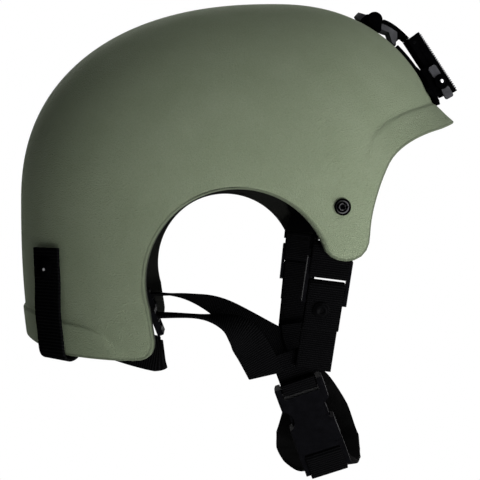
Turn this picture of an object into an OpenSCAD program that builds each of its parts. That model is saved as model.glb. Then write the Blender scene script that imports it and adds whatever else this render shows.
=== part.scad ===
// Combat helmet: high-cut shell, folding front device mount, pad set and four-point chin harness.
// Millimetres. +X is the front of the helmet, +Y the wearer's left, +Z up. The origin is the
// centre of the round ear cut on the middle plane, and the helmet sits brow-up as it is worn
// on a display, so its straps hang straight down.

/* [Shell] */
// half width of the shell at its widest, outside face
shell_half_width = 115; // [100:0.5:125]
// distance from the widest section back to the rear of the shell
shell_rear_reach = 157.6; // [140:0.1:170]
// distance from the widest section forward to the brow
shell_front_reach = 108.8; // [95:0.1:120]
// height of the crown above the widest section
shell_crown_rise = 123.1; // [110:0.1:135]
// depth of the side walls' curve below the widest section, they only use its upper part
shell_skirt_depth = 260; // [220:1:320]
// position of the widest section in front of the ear centre
shell_centre_x = 24.4; // [10:0.1:35]
// height of the widest section above the ear centre
shell_centre_z = 44.6; // [35:0.1:55]
// squareness of the shell seen from the side
shell_side_power = 2.29; // [2:0.01:2.6]
// squareness of the shell seen from the front
shell_front_power = 2.2; // [2:0.01:2.6]
// wall thickness of the moulded shell
shell_wall = 5; // [3:0.1:8]
// radius of the round ear cut
ear_cut_radius = 50.3; // [44:0.1:56]
// how far the raised brow and nape bands stand proud of the shell
band_proud = 1.4; // [0.8:0.1:2.5]
// extra forward lip of the brow at the middle
brow_lip = 8.4; // [4:0.1:11]

/* [Front mount] */
// length of the ribbed front rail
plate_length = 44.2; // [38:0.1:48]
// width of the ribbed front rail
plate_width = 14.4; // [12.4:0.2:18]
// thickness of the ribbed front rail
plate_thick = 3.4; // [2.6:0.1:4]
// width of the housing's foot, where it sits on the base
foot_width = 24; // [20:0.5:30]
// thickness of the moulded base that follows the shell
base_thick = 3.3; // [2:0.1:3.6]
// width of the base across its wings
base_width = 92; // [70:1:104]
// width of the long arm
arm_width = 10.4; // [8:0.2:11]
// diameter of the knob on the rear hook
hook_knob_diameter = 10; // [8:0.2:12]
// diameter of the knob on the side lock lever
lock_knob_diameter = 8.4; // [6:0.2:10]

/* [Harness] */
// width of the chin harness webbing
webbing_width = 20; // [16:0.5:22]
// width of the two rear strap tabs
tab_width = 25; // [20:0.5:28]
// thickness of the webbing
webbing_thick = 1.8; // [1.2:0.1:2.5]
// width of the side release buckle
buckle_width = 28; // [24:0.2:34]
// thickness of the side release buckle
buckle_thick = 8.4; // [7:0.1:11]
// length of the buckle's socket half
buckle_socket_length = 38.8; // [36:0.2:40]
// width of the chin cup at its middle
chin_cup_width = 54; // [44:0.5:62]
// thickness of the chin cup
chin_cup_thick = 3; // [2:0.1:5]

/* [Hidden] */
$fn = 48;

rows = 13;
bezier_steps = 8;
fit_gap = 0.3;
sewn_gap = 0.3;
screw_hole_clearance = 0.2;
pivot_clearance = 0.05;
shell_centre = [shell_centre_x, 0, shell_centre_z];

// The borders, the mount and the harness were laid out round a shell of these sizes. Each point
// of them follows the shell when one of its sizes changes.
laid_centre = [24.4, 0, 44.6];
// rear reach, front reach, half width, crown rise
laid_reach = [157.6, 108.8, 115, 123.1];
function follow(p) = [
    shell_centre_x + (p.x - laid_centre.x)
        * (p.x < laid_centre.x ? shell_rear_reach / laid_reach[0] : shell_front_reach / laid_reach[1]),
    p.y * shell_half_width / laid_reach[2],
    shell_centre_z + (p.z - laid_centre.z) * (p.z < laid_centre.z ? 1 : shell_crown_rise / laid_reach[3])];
function follow_plan(q) = let (p = follow([q[0], 0, q[1]])) [p.x, p.z];

// Shell form. Seen from the side it is a superellipse with its own reach in each direction, and
// its half width follows a second superellipse.
function side_sum(d) =
    pow(abs(d.x) / (d.x < 0 ? shell_rear_reach : shell_front_reach), shell_side_power)
    + pow(abs(d.z) / (d.z < 0 ? shell_skirt_depth : shell_crown_rise), shell_side_power);
function half_width_at(x, z) =
    let (s = side_sum([x - shell_centre_x, 0, z - shell_centre_z]))
    shell_half_width * pow(max(0, 1 - pow(s, shell_front_power / shell_side_power)), 1 / shell_front_power);
function shell_normal(p) =
    let (d = p - shell_centre)
    let (s = max(side_sum(d), 0.000001))
    let (m = pow(s, shell_front_power / shell_side_power - 1))
    let (a = d.x < 0 ? shell_rear_reach : shell_front_reach)
    let (c = d.z < 0 ? shell_skirt_depth : shell_crown_rise)
    let (g = [
        m * pow(abs(d.x), shell_side_power - 1) / pow(a, shell_side_power) * sign(d.x),
        pow(abs(d.y), shell_front_power - 1) / pow(shell_half_width, shell_front_power) * sign(d.y),
        m * pow(abs(d.z), shell_side_power - 1) / pow(c, shell_side_power) * sign(d.z)])
    g / norm(g);
function compass(azimuth, rise) = [cos(rise) * cos(azimuth), cos(rise) * sin(azimuth), sin(rise)];
function shell_reach(d) =
    pow(pow(side_sum(d), shell_front_power / shell_side_power)
        + pow(abs(d.y) / shell_half_width, shell_front_power), -1 / shell_front_power);
function on_shell(azimuth, rise, proud = 0) =
    let (d = compass(azimuth, rise))
    let (p = shell_centre + d * shell_reach(d))
    p + shell_normal(p) * proud;

// Curves of the side view.
function bezier(p, u) =
    pow(1 - u, 3) * p[0] + 3 * u * pow(1 - u, 2) * p[1] + 3 * u * u * (1 - u) * p[2] + pow(u, 3) * p[3];
function chain(parts) = [
    for (i = [0 : len(parts) - 1])
        for (k = [(i == 0 ? 0 : 1) : bezier_steps])
            bezier(parts[i], k / bezier_steps)];
function lengths(p) = [for (i = 0, s = 0; i < len(p); s = s + (i + 1 < len(p) ? norm(p[i + 1] - p[i]) : 0), i = i + 1) s];
function measured(p) = let (l = lengths(p)) [for (i = [0 : len(p) - 1]) [l[i] / l[len(p) - 1], p[i]]];
function along(m, u) = [lookup(u, [for (k = m) [k[0], k[1].x]]), lookup(u, [for (k = m) [k[0], k[1].y]])];

ear_cut_centre = [-1.6, 0.4];
function ear_cut(angle) = ear_cut_centre + ear_cut_radius * [cos(angle), sin(angle)];
function signed_power(v, p) = sign(v) * pow(abs(v), p);
function middle_line(angle) =
    let (c = signed_power(cos(angle), 2 / shell_side_power))
    let (s = signed_power(sin(angle), 2 / shell_side_power))
    [shell_centre_x + c * (c < 0 ? shell_rear_reach : shell_front_reach),
     shell_centre_z + s * (s < 0 ? shell_skirt_depth : shell_crown_rise)];

// The four border curves run from the ear cut to the middle line: the brow edge, the brow band's
// crease, the nape band's crease and the nape edge. Each pair of numbers is ear cut angle, middle angle.
brow_edge_angles = [20, 19.8];
brow_crease_angles = [30, 26.5];
nape_crease_angles = [187, 191.3];
nape_edge_angles = [197, 195.4];
cheek_front = follow_plan([70.7, 25]);
brow_turn = follow_plan([80.3, 64]);
brow_side = follow_plan([111.7, 85.8]);
brow_edge = measured(chain([
    [ear_cut(brow_edge_angles[0]), [ear_cut_radius + 0.2, 9.5], follow_plan([70, 8.5]), cheek_front],
    [cheek_front, follow_plan([71.2, 38]), follow_plan([75.5, 52]), brow_turn],
    [brow_turn, follow_plan([84.5, 73.5]), follow_plan([96, 80.5]), brow_side],
    [brow_side, follow_plan([118.5, 88.7]), follow_plan([125, 92.3]), middle_line(brow_edge_angles[1])]]));
crease_side = follow_plan([66, 48]);
crease_turn = follow_plan([72.6, 82.5]);
brow_crease = measured(chain([
    [ear_cut(brow_crease_angles[0]), [ear_cut_radius - 0.3, 17], follow_plan([66, 24]), crease_side],
    [crease_side, follow_plan([66, 60]), follow_plan([65.5, 74]), crease_turn],
    [crease_turn, follow_plan([81, 92]), follow_plan([102, 97.5]), middle_line(brow_crease_angles[1])]]));
nape_low = follow_plan([-72, -31]);
nape_turn = follow_plan([-90, -24.4]);
nape_crease = measured(chain([
    [ear_cut(nape_crease_angles[0]), [-ear_cut_radius - 4.7, -24], follow_plan([-61, -36]), nape_low],
    [nape_low, follow_plan([-77, -28.5]), follow_plan([-82, -25.3]), nape_turn],
    [nape_turn, follow_plan([-103, -22.8]), follow_plan([-120, -20]), middle_line(nape_crease_angles[1])]]));
flap_front = [3.1 - ear_cut_radius, -30];
flap_corner = [-ear_cut_radius - 6.7, -43.4];
flap_bottom = follow_plan([-95.5, -43.4]);
nape_edge = measured(chain([
    [ear_cut(nape_edge_angles[0]), [1.3 - ear_cut_radius, -20], [2.3 - ear_cut_radius, -25], flap_front],
    [flap_front, [4.5 - ear_cut_radius, -37], [1.8 - ear_cut_radius, -43.2], flap_corner],
    [flap_corner, follow_plan([-68, -43.8]), follow_plan([-84, -43.8]), flap_bottom],
    [flap_bottom, follow_plan([-108, -43]), follow_plan([-119, -38.5]), middle_line(nape_edge_angles[1])]]));

// A patch between two border curves, with the ear cut below it and the middle line above it.
function patch(left, right, la, ra, s, t) =
    let (low = ear_cut(la[0] + s * (ra[0] - la[0])))
    let (top = middle_line(la[1] + s * (ra[1] - la[1])))
    (1 - s) * along(left, t) + s * along(right, t) + (1 - t) * low + t * top
    - (1 - s) * (1 - t) * ear_cut(la[0]) - s * (1 - t) * ear_cut(ra[0])
    - (1 - s) * t * middle_line(la[1]) - s * t * middle_line(ra[1]);
dome_columns = 36;
columns = concat(
    [for (s = [0, 0.45, 0.86, 1]) [0, s]],
    [for (k = [1 : dome_columns]) [1, k / dome_columns]],
    [for (s = [0.12, 0.55, 1]) [2, s]]);
last_column = len(columns) - 1;
function row_place(j) = sin(90 * pow((j > rows ? 2 * rows - j : j) / rows, 1.3));
shell_plan = [
    for (c = columns)
        [for (j = [0 : rows])
            let (t = row_place(j))
            c[0] == 0 ? patch(brow_edge, brow_crease, brow_edge_angles, brow_crease_angles, c[1], t)
            : c[0] == 1 ? patch(brow_crease, nape_crease, brow_crease_angles, nape_crease_angles, c[1], t)
            : patch(nape_crease, nape_edge, nape_crease_angles, nape_edge_angles, c[1], t)]];
function ramp(v, a, b) = min(1, max(0, (v - a) / (b - a)));
// share of the brow lip, and of the raised band, at a column and a row
function lip_share(c, t) = c[0] == 0 ? (1 - c[1]) * (0.1 * ramp(t, 0.35, 0.5) + 0.9 * ramp(t, 0.5, 1)) : 0;
function band_share(c, t) =
    c[0] == 0 && c[1] < 0.9 ? ramp(t, 0.36, 0.46)
    : c[0] == 2 && c[1] > 0.1 ? ramp(t, 0.34, 0.42) : 0;
function shell_point(i, j, inside) =
    let (k = j > rows ? 2 * rows - j : j)
    let (q = shell_plan[i][k])
    let (t = row_place(j))
    let (y = (j > rows ? 1 : -1) * (k == rows ? 0 : half_width_at(q.x, q.y)))
    let (p = [q.x, y, q.y])
    let (n = shell_normal(p))
    let (lip = brow_lip * lip_share(columns[i], t) * [n.x, n.y, 0] / norm([n.x, n.y]))
    p + lip + n * (inside ? -shell_wall : band_proud * band_share(columns[i], t));

// Faces of a closed skin with an outer and an inner grid of points, both of rows by columns.
function grid_faces(n, m) =
    let (o = (n + 1) * (m + 1))
    concat(
        [for (i = [0 : n - 1]) for (j = [0 : m - 1]) each
            let (a = i * (m + 1) + j)
            let (b = a + m + 1)
            [[a, a + 1, b + 1], [a, b + 1, b], [o + a, o + b + 1, o + a + 1], [o + a, o + b, o + b + 1]]],
        [for (i = [0 : n - 1]) each
            let (a = i * (m + 1))
            let (b = a + m + 1)
            [[a, b, o + b], [a, o + b, o + a], [a + m, o + a + m, o + b + m], [a + m, o + b + m, b + m]]],
        [for (j = [0 : m - 1]) each
            let (a = j)
            let (b = n * (m + 1) + j)
            [[a, o + a, o + a + 1], [a, o + a + 1, a + 1], [b, b + 1, o + b + 1], [b, o + b + 1, o + b]]]);
function turned(faces) = [for (f = faces) [f[2], f[1], f[0]]];

module shell_form() {
    polyhedron(
        points = concat(
            [for (i = [0 : last_column]) for (j = [0 : 2 * rows]) shell_point(i, j, false)],
            [for (i = [0 : last_column]) for (j = [0 : 2 * rows]) shell_point(i, j, true)]),
        faces = turned(grid_faces(last_column, 2 * rows)),
        convexity = 8);
}

// Places children with their Z axis along a direction.
module facing(p, n) {
    translate(p)
        rotate([0, acos(n.z / norm(n)), atan2(n.y, n.x)])
            children();
}
module both_sides() {
    children();
    mirror([0, 1, 0]) children();
}

// Side fastening, where the front straps are bolted to the shell.
side_screw_at = follow_plan([54.5, 41.2]);
side_screw_shank = 4;
side_screw_head = 7.6;
side_washer = 9.2;
side_point = [side_screw_at[0], -half_width_at(side_screw_at[0], side_screw_at[1]), side_screw_at[1]];
side_normal = shell_normal(side_point);
washer_thick = 0.9;
anchor_thick = 1.6;
anchor_inset = shell_wall + 0.9;

// Rear strap snaps, and the path of the strap that they hold.
tab_azimuth = 206.8;
tab_top_rise = -10.2;
snap_rise = -14.6;
tab_hinge_rise = -21.2;
// rise at which the strap turns under the rim, found from the rim's own height there
tab_turn_drop = 1.82;
function rim_height(x) = lookup(-x, [for (k = nape_edge) if (k[1].x < flap_corner[0]) [-k[1].x, k[1].y]]);
function rim_rise(low = -50, high = -15, tries = 20) =
    let (m = (low + high) / 2)
    let (p = on_shell(tab_azimuth, m))
    tries == 0 ? m
    : p.z > rim_height(p.x) - tab_turn_drop ? rim_rise(low, m, tries - 1)
    : rim_rise(m, high, tries - 1);
tab_rim_rise = rim_rise();
snap_post_hole = 4.4;
snap_point = on_shell(tab_azimuth, snap_rise);
snap_normal = shell_normal(snap_point);

// Frame of the front plate: X out of the plate, Z up along it, origin in the middle of its face.
plate_lean = 33.2;
plate_out = [cos(plate_lean), 0, sin(plate_lean)];
plate_up = [-sin(plate_lean), 0, cos(plate_lean)];
seat_depth = 14.3;
bolt_shank = 4;
bolt_height = -5.6;
base_low = 30.5;
base_high = 51.4;
// the seat is level with the highest part of the base, and the plate stands on the seat
function base_top(rise) = let (p = on_shell(0, rise)) (p + shell_normal(p) * base_thick) * plate_out;
seat_level = max([for (rise = [base_low : 1 : base_high]) base_top(rise)]);
seat_margin = 0.57;
plate_drop = 2.54;
plate_middle = plate_out * (seat_level + seat_depth + seat_margin)
    + plate_up * (on_shell(0, 40) * plate_up + plate_drop);
laid_plate = [129.3, 0, 133.1];
mount_shift = plate_middle - laid_plate;
// distance along the bolt from the plate's face down to the shell
function shell_level(p) =
    pow(side_sum(p - shell_centre), shell_front_power / shell_side_power)
    + pow(abs(p.y) / shell_half_width, shell_front_power);
function shell_depth(low = -40, high = 0, tries = 24) =
    let (m = (low + high) / 2)
    tries == 0 ? m
    : shell_level(plate_middle + plate_up * bolt_height + plate_out * m) > 1 ? shell_depth(low, m, tries - 1)
    : shell_depth(m, high, tries - 1);
bolt_wall = shell_depth();
nut_gap = 1.15;
nut_top = bolt_wall - shell_wall - nut_gap;
module at_plate() {
    translate(plate_middle)
        rotate([0, -plate_lean, 0])
            children();
}

module shell() color([0.45, 0.5, 0.4]) {
    difference() {
        shell_form();
        both_sides()
            facing(side_point, side_normal)
                translate([0, 0, -shell_wall * 2])
                    cylinder(d = side_screw_shank + 2 * screw_hole_clearance, h = shell_wall * 4);
        both_sides()
            facing(snap_point, snap_normal)
                translate([0, 0, -shell_wall * 2])
                    cylinder(d = snap_post_hole, h = shell_wall * 4);
        at_plate()
            translate([nut_top - 4, 0, bolt_height])
                rotate([0, 90, 0])
                    cylinder(d = bolt_shank + 2 * screw_hole_clearance, h = 16);
    }
}

// Base of the front mount: a moulded sheet that follows the shell, raised to a flat seat.
base_lines = 16;
base_cross = 14;
base_neck_width = 27;
seat_low = -22.5;
seat_high = 2.4;
neck_thick = 3.7;
crease_height = middle_line(brow_crease_angles[1])[1];
wing_share = 0.54;
function front_shell(rise, y) =
    let (e = [cos(rise), 0, sin(rise)])
    let (share = pow(1 - pow(abs(y) / shell_half_width, shell_front_power), 1 / shell_front_power))
    let (r = share / pow(side_sum(e), 1 / shell_side_power))
    shell_centre + [r * cos(rise), y, r * sin(rise)];
function base_half(u) =
    let (w = 2 * u / wing_share - 1)
    let (wing = base_width / 2 * pow(max(0.02, 1 - w * w), 0.42))
    max(wing, u < wing_share / 2 ? base_neck_width / 3 : base_neck_width / 2);
function base_point(i, j, inside) =
    let (u = i / base_lines)
    let (y = (2 * j / base_cross - 1) * base_half(u))
    let (p = front_shell(base_low + u * (base_high - base_low), y))
    let (n = shell_normal(p))
    let (v = (p - plate_middle) * plate_out)
    let (z = (p - plate_middle) * [-plate_out.z, 0, plate_out.x])
    let (seated = abs(y) < foot_width / 2 + 5 && z > seat_low && z < seat_high)
    let (plain = z < seat_high ? base_thick : neck_thick)
    let (seat = seated ? (-seat_depth - v) / (n * plate_out) : plain)
    // the lower end steps over the raised brow band
    let (lift = 0.25 + (band_proud + 1.1) * (1 - ramp(p.z, crease_height, crease_height + 3.5)))
    p + n * (inside ? lift : seated ? seat : max(plain, lift + 1.7));
module mount_base() color([0.1, 0.1, 0.11]) {
    difference() {
        polyhedron(
            points = concat(
                [for (i = [0 : base_lines]) for (j = [0 : base_cross]) base_point(i, j, false)],
                [for (i = [0 : base_lines]) for (j = [0 : base_cross]) base_point(i, j, true)]),
            faces = turned(grid_faces(base_lines, base_cross)),
            convexity = 6);
        at_plate()
            translate([-seat_depth - 16, 0, bolt_height])
                rotate([0, 90, 0])
                    cylinder(d = bolt_shank + 2 * screw_hole_clearance, h = 24);
    }
}

// Housing: a slim box behind the rail with a wider foot on the base, slotted at its top for the arm.
housing_low = -20.6;
housing_high = 21.9;
housing_back = -8.9;
foot_high = 1.2;
foot_low = -19;
arm_pin_at = [-6, 18];
arm_pin = 2;
slot_front = -4.9;
slot_floor = 11;
lock_pivot = [-6, -11.9];
lock_pivot_pin = 2.6;
bolt_head = 7;
module across(at, d, length) {
    translate([at[0], 0, at[1]])
        rotate([90, 0, 0])
            cylinder(d = d, h = length, center = true);
}
module housing() color([0.09, 0.09, 0.1]) {
    at_plate()
        difference() {
            union() {
                translate([housing_back, -plate_width / 2, housing_low])
                    cube([-plate_thick - 0.05 - housing_back, plate_width, housing_high - housing_low]);
                // foot with a flange on the base
                translate([0, 0, foot_low])
                    linear_extrude(foot_high - foot_low)
                        polygon([[-seat_depth + 0.05, -foot_width / 2], [-seat_depth + 1.1, -foot_width / 2],
                            [-seat_depth + 2, -plate_width / 2], [housing_back + 0.4, -plate_width / 2],
                            [housing_back + 0.4, plate_width / 2], [-seat_depth + 2, plate_width / 2],
                            [-seat_depth + 1.1, foot_width / 2], [-seat_depth + 0.05, foot_width / 2]]);
            }
            // groove for the arm's tongue, open at the back
            translate([housing_back - 1, -arm_width / 2 - fit_gap, slot_floor])
                cube([slot_front - housing_back + 1, arm_width + 2 * fit_gap, 30]);
            across(arm_pin_at, arm_pin + 2 * pivot_clearance, 60);
            across(lock_pivot, lock_pivot_pin + 2 * pivot_clearance, 60);
            translate([-30, 0, bolt_height])
                rotate([0, 90, 0])
                    cylinder(d = bolt_shank + 2 * screw_hole_clearance, h = 40);
            translate([housing_back + 1.2, 0, bolt_height])
                rotate([0, 90, 0])
                    cylinder(d = bolt_head + 0.6, h = 10);
            // grooves along each side of the box
            for (s = [-1, 1])
                translate([-6.6, s * plate_width / 2 - 0.4, 1])
                    cube([1.2, 0.8, 13]);
        }
}

// Front rail: cross ribs over its whole face, with chamfered ends.
rib_pitch = 1.42;
rib_height = 0.5;
rib_count = 29;
plate_proud = 0.5;
module front_plate() color([0.08, 0.08, 0.09]) {
    at_plate()
        rotate([90, 0, 0])
            translate([plate_proud, 0, -plate_width / 2])
                linear_extrude(plate_width)
                    polygon(concat(
                        [[-plate_thick - plate_proud, -plate_length / 2 + 0.8], [-plate_thick + 0.8, -plate_length / 2],
                            [-rib_height, -plate_length / 2]],
                        [for (k = [0 : rib_count - 1]) each
                            let (z = (k - (rib_count - 1) / 2) * rib_pitch)
                            [[-rib_height, z - 0.3 * rib_pitch], [0, z - 0.18 * rib_pitch], [0, z + 0.18 * rib_pitch], [-rib_height, z + 0.3 * rib_pitch]]],
                        [[-rib_height, plate_length / 2], [-plate_thick + 0.8, plate_length / 2],
                            [-plate_thick - plate_proud, plate_length / 2 - 0.8]]));
}
module mount_bolt() color([0.3, 0.3, 0.32]) {
    at_plate()
        translate([0, 0, bolt_height])
            rotate([0, 90, 0])
                difference() {
                    union() {
                        translate([0, 0, housing_back + 1.25])
                            cylinder(d = bolt_head, h = 3);
                        translate([0, 0, nut_top - 3.55])
                            cylinder(d = bolt_shank, h = housing_back + 2 - nut_top + 3.55);
                    }
                    translate([0, 0, housing_back + 2.4])
                        cylinder(d = 3.6, h = 3, $fn = 6);
                }
}
module mount_nut() color([0.5, 0.5, 0.52]) {
    at_plate()
        translate([nut_top - 3.2, 0, bolt_height])
            rotate([0, 90, 0])
                difference() {
                    union() {
                        cylinder(d = 8, h = 2.6, $fn = 6);
                        translate([0, 0, 2.4])
                            cylinder(d = 9, h = 0.8);
                    }
                    translate([0, 0, -1])
                        cylinder(d = bolt_shank + 0.04, h = 6);
                }
}

// Lock lever on the wearer's right of the housing: a knob with a tab at each end.
lever_face = plate_width / 2 + 0.4;
lever_thick = 2.4;
lever_reach = 11.6;
lever_bar = 5.4;
lever_waist = 2.4;
module lever_tab() {
    linear_extrude(lever_thick)
        polygon([[-lever_waist / 2, 0], [lever_waist / 2, 0], [lever_bar / 2, lever_reach - 6], [lever_bar / 2, lever_reach - 0.8],
            [lever_bar / 2 - 0.8, lever_reach], [-lever_bar / 2 + 0.8, lever_reach], [-lever_bar / 2, lever_reach - 0.8],
            [-lever_bar / 2, lever_reach - 6]]);
}
module lock_lever() color([0.2, 0.2, 0.22]) {
    at_plate()
        translate([lock_pivot[0], -lever_face, lock_pivot[1]])
            rotate([90, 0, 0])
                difference() {
                    union() {
                        cylinder(d = lock_knob_diameter, h = lever_thick + 1.4);
                        lever_tab();
                        rotate([0, 0, 176])
                            lever_tab();
                    }
                    translate([0, 0, -1])
                        cylinder(d = lock_pivot_pin + 2 * pivot_clearance, h = 10);
                }
}
module lock_pin() color([0.35, 0.35, 0.37]) {
    at_plate()
        translate([lock_pivot[0], 0, lock_pivot[1]])
            rotate([90, 0, 0]) {
                translate([0, 0, -plate_width / 2 - 0.1])
                    cylinder(d = lock_pivot_pin, h = plate_width + lever_thick + 2.2);
                translate([0, 0, lever_face + lever_thick + 1.45])
                    cylinder(d1 = 4.8, d2 = 3.6, h = 1.2);
                translate([0, 0, -plate_width / 2 - 2])
                    cylinder(d = 4.8, h = 1.95, $fn = 6);
            }
}

// Long arm from the housing over the shell to the rear hook, with a dark cover strip on top.
module at_side(width) {
    rotate([90, 0, 0])
        translate([0, 0, -width / 2])
            linear_extrude(width)
                children();
}
// the arm's front end goes with the plate, and its rear end with the hook above the shell
plate_move = [mount_shift.x, mount_shift.z];
laid_hook = [88.6, 158.4];
hook_pivot = follow_plan(laid_hook);
hook_move = hook_pivot - laid_hook;
heel_move = (plate_move + hook_move) / 2;
function bend(c) = [c[0] + plate_move, c[1] + plate_move, c[2] + hook_move, c[3] + hook_move];
module curve_band(outer, inner) {
    polygon(concat(
        [for (k = [0 : 12]) bezier(outer, k / 12)],
        [for (k = [0 : 12]) bezier(inner, 1 - k / 12)]));
}
arm_top = bend([[112.8, 145.6], [105.4, 153.6], [99.6, 158], [94.8, 159.2]]);
arm_split = bend([[111.6, 145], [104.6, 151.2], [98.8, 155.2], [93.8, 156.9]]);
arm_under = bend([[109.9, 146.1], [108.2, 150.5], [97.5, 150.2], [91.8, 154.2]]);
arm_root = 103.7 + plate_move.x;
arm_side = 0.3;
root_side = 1.1;
skirt_side = 0.9;
root_top = [for (p = arm_top) p - [0.44, 0.41]];
module arm_tongue() {
    at_plate() {
        translate([housing_back, -arm_width / 2, slot_floor + fit_gap])
            cube([slot_front - fit_gap - housing_back, arm_width, housing_high - slot_floor - fit_gap]);
        // root, where the tongue leaves the housing
        rotate([90, 0, 0])
            translate([0, 0, -arm_width / 2])
                linear_extrude(arm_width)
                    polygon([[housing_back + 0.1, 19], [-5.3, 19], [-5.3, housing_high - 0.05], [-7.9, housing_high + 0.1],
                        [-8.05, housing_high + 1.2], [-8.85, housing_high + 1.2], [-8.5, housing_high + 0.2]]);
    }
}
module box_zone() {
    at_plate()
        translate([-40, -20, -40])
            cube([80, 40, 40 + housing_high + 0.2]);
}
module fore_zone(from) {
    translate([from, 100])
        square([40, 80]);
}
// heel that steadies the arm just above the shell
module arm_heel() {
    translate(heel_move)
        polygon([[98.4, 151.4], [100.4, 144.9], [101.9, 142.8], [102.6, 142.7], [102.9, 143.6], [102.9, 145.2],
            [104.7, 146.8], [106, 148.4], [105.2, 150.2], [103, 151.3]]);
}
module cavity_heel() {
    translate(heel_move)
        polygon([[98, 151.9], [100, 144.4], [101.6, 142.2], [103, 142.2], [103.4, 143.4], [103.4, 145], [105.2, 146.5],
            [106.8, 148.4], [105.6, 150.6], [103, 151.8]]);
}
module arm_band() {
    at_side(plate_width - 2 * arm_side)
        difference() {
            union() {
                curve_band(arm_split, arm_under);
                arm_heel();
            }
            fore_zone(arm_root);
        }
    // the root is narrower, between the skirts of the cover
    at_side(plate_width - 2 * root_side)
        intersection() {
            union() {
                curve_band(root_top, arm_under);
                arm_heel();
            }
            fore_zone(arm_root - 1);
        }
}
module arm() color([0.3, 0.3, 0.31]) {
    difference() {
        union() {
            difference() {
                arm_band();
                box_zone();
            }
            arm_tongue();
        }
        at_plate()
            across(arm_pin_at, arm_pin + 2 * pivot_clearance, 60);
        // end face at the hook block
        at_side(40)
            translate(hook_move)
                polygon([[80, 140], [89.6, 140], [91.8, 150.1], [93.25, 157], [93.25, 170], [80, 170]]);
    }
}
cover_lift = 0.25;
module arm_cover() color([0.06, 0.06, 0.07]) {
    difference() {
        translate([cover_lift * 0.7, 0, cover_lift * 0.7])
            difference() {
                union() {
                    at_side(plate_width)
                        curve_band(arm_top, arm_split);
                    at_side(plate_width)
                        intersection() {
                            union() {
                                curve_band(arm_top, arm_under);
                                arm_heel();
                            }
                            fore_zone(arm_root);
                        }
                }
                at_side(plate_width - 2 * skirt_side)
                    intersection() {
                        union() {
                            curve_band(root_top, [for (p = arm_under) p - [0, 0.5]]);
                            cavity_heel();
                        }
                        fore_zone(arm_root - 1.2);
                    }
            }
        box_zone();
        at_side(40)
            translate(hook_move)
                polygon([[80, 140], [89.6, 140], [91.8, 150.1], [93.25, 157], [93.25, 170], [80, 170]]);
    }
}
module arm_pin_rod() color([0.35, 0.35, 0.37]) {
    at_plate()
        across(arm_pin_at, arm_pin, plate_width + 0.6);
}

// Rear hook block, its pivot with a knob, and the claw lever that swings up out of it.
hook_pin = 3;
hook_width = 18;
claw_width = 8;
hook_outline = [[79.9, 156.6], [90.6, 150.2], [93.2, 151.9], [93.6, 156.6], [91.9, 161.4], [84.2, 162.4], [81.2, 159.8]];
module hook_block() color([0.07, 0.07, 0.08]) {
    difference() {
        at_side(hook_width)
            translate(hook_move)
                polygon(hook_outline);
        // slot for the claw
        at_side(claw_width + 2 * fit_gap)
            translate(hook_move)
                polygon([[76, 155.4], [83.5, 155.4], [87.4, 154], [90.4, 154], [92.6, 156.9], [93, 170], [76, 170]]);
        // seat of the arm
        at_side(plate_width + 2 * fit_gap)
            translate(hook_move)
                polygon([[91.4, 150], [99, 146], [99, 164], [92.9, 164], [92.9, 157]]);
        translate([hook_pivot[0], 0, hook_pivot[1]])
            rotate([90, 0, 0])
                cylinder(d = hook_pin + 2 * pivot_clearance, h = 60, center = true);
    }
}
module hook_pin_knob() color([0.07, 0.07, 0.08]) {
    translate([hook_pivot[0], 0, hook_pivot[1]])
        rotate([90, 0, 0]) {
            translate([0, 0, -hook_width / 2 - 0.1])
                cylinder(d = hook_pin, h = hook_width + 1);
            translate([0, 0, -hook_width / 2 - 1.6])
                cylinder(d = 6, h = 1.5);
            translate([0, 0, hook_width / 2 + 0.2])
                union() {
                    cylinder(d = hook_knob_diameter, h = 2.6);
                    translate([0, 0, 2.59])
                        cylinder(d1 = hook_knob_diameter, d2 = hook_knob_diameter - 2.4, h = 1.6);
                }
        }
}
module claw() color([0.22, 0.22, 0.24]) {
    difference() {
        at_side(claw_width)
            union() {
                translate(hook_pivot)
                    circle(r = 3.6);
                translate(hook_move)
                    polygon([[87.6, 162.1], [79.6, 164.4], [77.8, 162.6], [79.4, 159.8], [83, 158.2], [86.9, 155.5]]);
            }
        translate([hook_pivot[0], 0, hook_pivot[1]])
            rotate([90, 0, 0])
                cylinder(d = hook_pin + 2 * pivot_clearance, h = 60, center = true);
    }
}

// Side screws, washers and the hex nuts and anchor plates inside.
module side_screw_form() {
    facing(side_point, side_normal)
        difference() {
            union() {
                translate([0, 0, washer_thick + 0.35])
                    cylinder(d1 = side_screw_head, d2 = side_screw_head - 1.6, h = 2);
                translate([0, 0, -shell_wall - 6.5])
                    cylinder(d = side_screw_shank, h = shell_wall + 6.5 + washer_thick + 0.6);
            }
            translate([0, 0, washer_thick + 1])
                for (a = [0, 90])
                    rotate([0, 0, a])
                        translate([-2.3, -0.5, 0])
                            cube([4.6, 1, 3]);
        }
}
module side_washer_form() {
    facing(side_point, side_normal)
        translate([0, 0, 0.3])
            difference() {
                cylinder(d = side_washer, h = washer_thick);
                translate([0, 0, -1])
                    cylinder(d = side_screw_shank + 2 * screw_hole_clearance, h = 3);
            }
}
anchor_breadth = 24.4;
anchor_plate = 16;
anchor_bar = 2.4;
anchor_slot = 4.2;
anchor_low = 17;
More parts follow.
